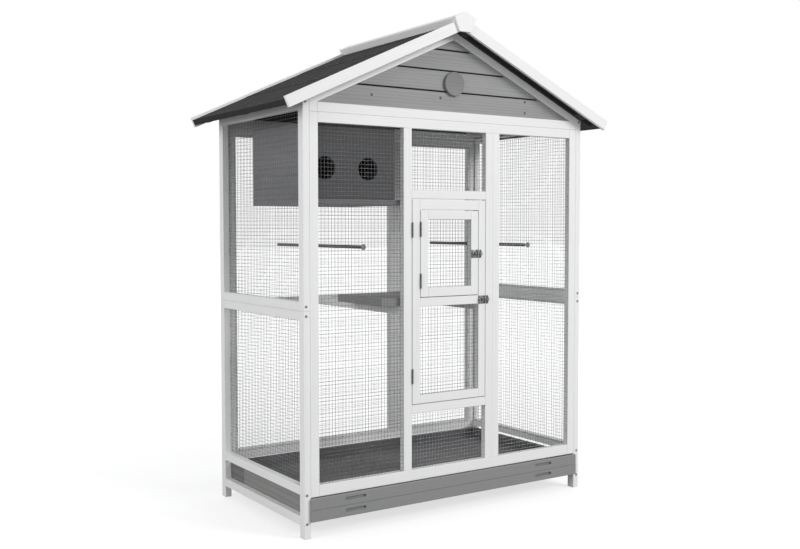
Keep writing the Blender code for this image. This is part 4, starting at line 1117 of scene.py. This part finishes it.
# Each wall's nets: the axis along the wall, where they lie across it, their turn, their names.
NET_WALLS = (
    (0, -0.3246, 0.0, ("left_bay", "right_bay", "over_door", "under_door", "main_door", "small_door")),
    (0, 0.3038, pi, ("rear_lower", "rear_upper")),
    (1, -0.5788, -pi / 2, ("left_lower", "left_upper")),
    (1, 0.5788, pi / 2, ("right_lower", "right_upper")),
)


def make_nets():
    """A sheet of welded mesh in place of each coarse net of the model."""
    tree = make_mesh_tree()
    for along, across, turn, names in NET_WALLS:
        for name in names:
            low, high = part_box(f"net_{name}")
            width, height = high[along] - low[along], high[2] - low[2]
            centre = [(a + b) / 2 for a, b in zip(low, high)]
            centre[1 - along] = across
            finish, radius = NET_WIRES.get(name, PLAIN_WIRE)
            mesh = grown(tree, bpy.data.meshes.new(name), {
                "Width": width, "Height": height, "Uprights": round(width / PITCH) + 1,
                "Cross Wires": round(height / PITCH) + 1, "Wire Radius": radius, "Seed": len(name),
                "Finish": FINISHES[finish],
            })
            mesh.transform(Matrix.Translation(centre) @ Matrix.Rotation(turn, 4, "Z"))
            body = name if name in ("main_door", "small_door") else "cabinet"
            put(f"mesh_{name}", mesh, [f"net_{name}"], body)


def point_mesh(rows):
    """Points with the way that each faces and how far it is turned: (place, facing, spin)."""
    mesh = bpy.data.meshes.new("points")
    places, facing, spin = zip(*rows)
    mesh.from_pydata(places, [], [])
    carry_vectors(mesh, "facing", facing)
    carry_numbers(mesh, "spin", spin)
    return mesh


def pattern_object(name, *forms):
    """An object that a tree copies. It is removed once the copies are real."""
    work = Work()
    for form in forms:
        work.add(form)
    return new_object(name, work.mesh(name))


def screw_pattern():
    """A flat head with a cross recess: a pierced disc over a solid one."""
    arm, half = 0.0019, 0.0005
    cross = [(half, half), (half, arm), (-half, arm), (-half, half), (-arm, half), (-arm, -half),
             (-half, -half), (-half, -arm), (half, -arm), (half, -half), (arm, -half), (arm, half)]
    head = sawn([circle(0, 0, 0.0032, 16), cross], (0.0, 0.0005), 0.00012)
    head.transform(Matrix.Rotation(pi / 2, 4, "X"))
    seat = rod(0.0030, (0, 0, -0.0020), (0, 0, -0.0001), 16, 0.0002)
    return pattern_object("screw_pattern", head, seat)


def staple_pattern():
    """A staple across the wire: a crown with two short legs."""
    reach, half = 0.0045, 0.0005
    crown = squared((-reach, reach), (-half, half), (0.0006, 0.0013), THIN_EDGE)
    legs = [squared((x - half, x + half), (-half, half), (-0.0030, 0.0010), THIN_EDGE)
            for x in (-reach, reach)]
    return pattern_object("staple_pattern", crown, *legs)


def nail_pattern():
    head = ((0, -0.0010), (0.0042, -0.0008), (0.0044, 0.0002), (0.0036, 0.0007), (0, 0.0009))
    return pattern_object("nail_pattern", turned(head, (0, 0, 0), (0, 0, 1), 14))


AHEAD = (0.0, -1.0, 0.0)
BEHIND = (0.0, 1.0, 0.0)


def screw_places():
    """Screws by body: through the side panels and the gable boards, and in the bolts' plates."""
    rows = {"cabinet": [], "main_door": [], "small_door": []}
    for x in (-0.5945, 0.5945):
        for z in (1.418, 0.760, 0.729, 0.145, 0.050):
            rows["cabinet"] += [((x, FRONT, z), AHEAD, 0), ((x, REAR, z), BEHIND, 0)]
    board = REAR - GABLE_RECESS
    for x, z in ((-0.339, 1.458), (-0.056, 1.467), (0.329, 1.478), (0.329, 1.437)):
        rows["cabinet"] += [((x, -board, z), AHEAD, 0), ((x, board, z), BEHIND, 0)]
    for _, edge, strike, middle, body, keeper in BOLTS:
        heights = (middle - SCREW_Z, middle + SCREW_Z)
        for on, x in (*((body, edge + at) for at in CASE_SCREWS_X), (keeper, strike + KEEPER_SCREWS_X)):
            rows[on] += [((x, PLATE_Y[0], z), AHEAD, 0) for z in heights]
    return rows


def staple_places():
    """Staples round the nets of the sides and the rear, on the inner faces."""
    rows = []
    side_x, rear_y = 0.5783, 0.3032
    for _, side in SIDES:
        x, inward = side * side_x, (-side, 0.0, 0.0)
        for low, high in ((0.1685, 0.7185), (0.7715, 1.3985)):
            rows += [((x, y, z), inward, pi / 2) for y in steps(-0.286, 0.286, 8) for z in (low, high)]
            rows += [((x, y, z), inward, 0) for z in steps(low, high, 9)[1:-1] for y in (-0.3000, 0.3000)]
    for low, high in ((0.1700, 0.7160), (0.7415, 1.3580)):
        rows += [((x, rear_y, z), AHEAD, 0) for x in steps(-0.540, 0.540, 13) for z in (low, high)]
        rows += [((x, rear_y, z), AHEAD, pi / 2) for z in steps(low, high, 8)[1:-1]
                 for x in (-0.5515, 0.1575, 0.188, 0.5515)]
    return rows


def nail_places():
    """Broad headed nails along the eaves and the laps of the felt."""
    rows = []
    for _, side in SIDES:
        turn = roof_matrix(side)
        out = turn.to_3x3() @ Vector((0, 0, 1))
        for u, lift in ((0.742, 0.0003), (0.510, 0.0012), (0.255, 0.0012)):
            rows += [(turn @ Vector((u, y, lift)), out, 0) for y in steps(-0.345, 0.345, 9)]
    return rows


def make_fixings():
    """The screws, larger on the cabinet than on the bolts, the staples and the nails."""
    tree = make_setting_tree()
    screw, staple, nail = screw_pattern(), staple_pattern(), nail_pattern()
    fixings = [(f"screws_{body}", rows, screw, 1.35 if body == "cabinet" else 1.0, pi, "black_steel",
                "zinc_steel", body) for body, rows in screw_places().items()]
    fixings += [("staples", staple_places(), staple, 1.0, 0.12, "wire", "wire", "cabinet"),
                ("felt_nails", nail_places(), nail, 1.0, pi, "black_steel", "black_steel", "cabinet")]
    for name, rows, pattern, size, loose, finish, slot, body in fixings:
        settings = {"Pattern": pattern, "Size": size, "Loose Turn": loose, "Finish": FINISHES[finish]}
        put(name, grown(tree, point_mesh(rows), settings), body=body)
    for pattern in (screw, staple, nail):
        bpy.data.objects.remove(pattern)


# Studio

WHITE = (1, 1, 1, 1)


def seen_directly(tree):
    """One where the camera sees a surface itself or in a mirror or glass, else zero."""
    path = add_node(tree, "ShaderNodeLightPath")
    through = maths(tree, "MAXIMUM", path["Is Glossy Ray"], path["Is Transmission Ray"])
    return maths(tree, "MAXIMUM", path["Is Camera Ray"], through)


def floor_finish():
    """Pale floor that keeps the shadow and is near white where the camera sees it."""
    finish, tree, shader, place = new_finish("studio_floor")
    feed(tree, shader, {"Base Color": (0.36, 0.36, 0.36, 1), "Roughness": 0.9})
    lift = spread(tree, vector_maths(tree, "LENGTH", place)["Value"], 0.6, 4.0, 0.69, 0.87)
    strength = times(tree, seen_directly(tree), lift)
    glow = add_node(tree, "ShaderNodeEmission", {"Color": WHITE, "Strength": strength})[0]
    both = add_node(tree, "ShaderNodeAddShader", {0: shader.outputs[0], 1: glow})[0]
    feed(tree, tree.nodes["Material Output"], {"Surface": both})
    return finish


def make_floor():
    mesh = bpy.data.meshes.new("studio_floor")
    mesh.from_pydata([(-40, -40, 0), (40, -40, 0), (40, 40, 0), (-40, 40, 0)], [], [(0, 1, 2, 3)])
    mesh.materials.append(floor_finish())
    floor = new_object("studio_floor", mesh)


def make_world():
    world = bpy.data.worlds.new("studio")
    bpy.context.scene.world = world
    world.use_nodes = True
    tree = world.node_tree
    light = feed(tree, tree.nodes["Background"], {"Color": (0.97, 0.985, 1.0, 1), "Strength": 0.51})[0]
    backdrop = add_node(tree, "ShaderNodeBackground", {"Color": WHITE, "Strength": 1.0})[0]
    mixed = add_node(tree, "ShaderNodeMixShader", {0: seen_directly(tree), 1: light, 2: backdrop})[0]
    feed(tree, tree.nodes["World Output"], {"Surface": mixed})


def make_lamp(name, place, power, size):
    """A soft square lamp that faces the middle of the aviary."""
    lamp = bpy.data.lights.new(name, "AREA")
    lamp.energy = power
    lamp.size = size
    obj = new_object(name, lamp)
    obj.location = place
    middle = Vector((0, 0, 0.85))
    obj.rotation_euler = (middle - Vector(place)).to_track_quat("-Z", "Y").to_euler()


def make_camera():
    """The photograph's viewpoint, with its turns in degrees."""
    camera = bpy.data.cameras.new("camera")
    camera.lens = 45.147
    camera.sensor_width = 36.0
    obj = new_object("camera", camera)
    obj.location = (-2.12784, -3.17786, 1.01858)
    down, tilt, right = 2.738, 0.044, 33.655
    obj.rotation_euler = (radians(90 - down), radians(tilt), radians(-right))
    bpy.context.scene.camera = obj


def make_studio():
    bpy.context.scene.view_settings.view_transform = "Standard"
    make_camera()
    make_world()
    make_floor()
    make_lamp("key", (4.5, -7.4, 5.0), power=520, size=3.2)
    make_lamp("side", (-5.0, -1.2, 2.2), power=96, size=3.0)


make_side_frames()
make_front_frame()
make_rear_frame()
make_gable_frames()
make_gable_boards()
make_gable_disc()
make_roof_deck()
make_felt()
make_ridge_cap()
make_barges()
make_keystones()
make_nest_box()
make_perches()
make_platform()
make_tray("upper", foot=0.0943, head=0.1328, side_top=0.130, rear_top=0.1352, slot_z=0.116)
make_tray("lower", foot=0.0563, head=0.0937, side_top=0.0805, rear_top=0.0805, slot_z=0.0775)
make_runners()
make_door("main_door", MAIN_STILES, MAIN_RAILS)
make_door("small_door", SMALL_STILES, SMALL_RAILS)
make_hinges()
for bolt in BOLTS:
    make_bolt(*bolt)
make_nets()
make_fixings()
make_studio()
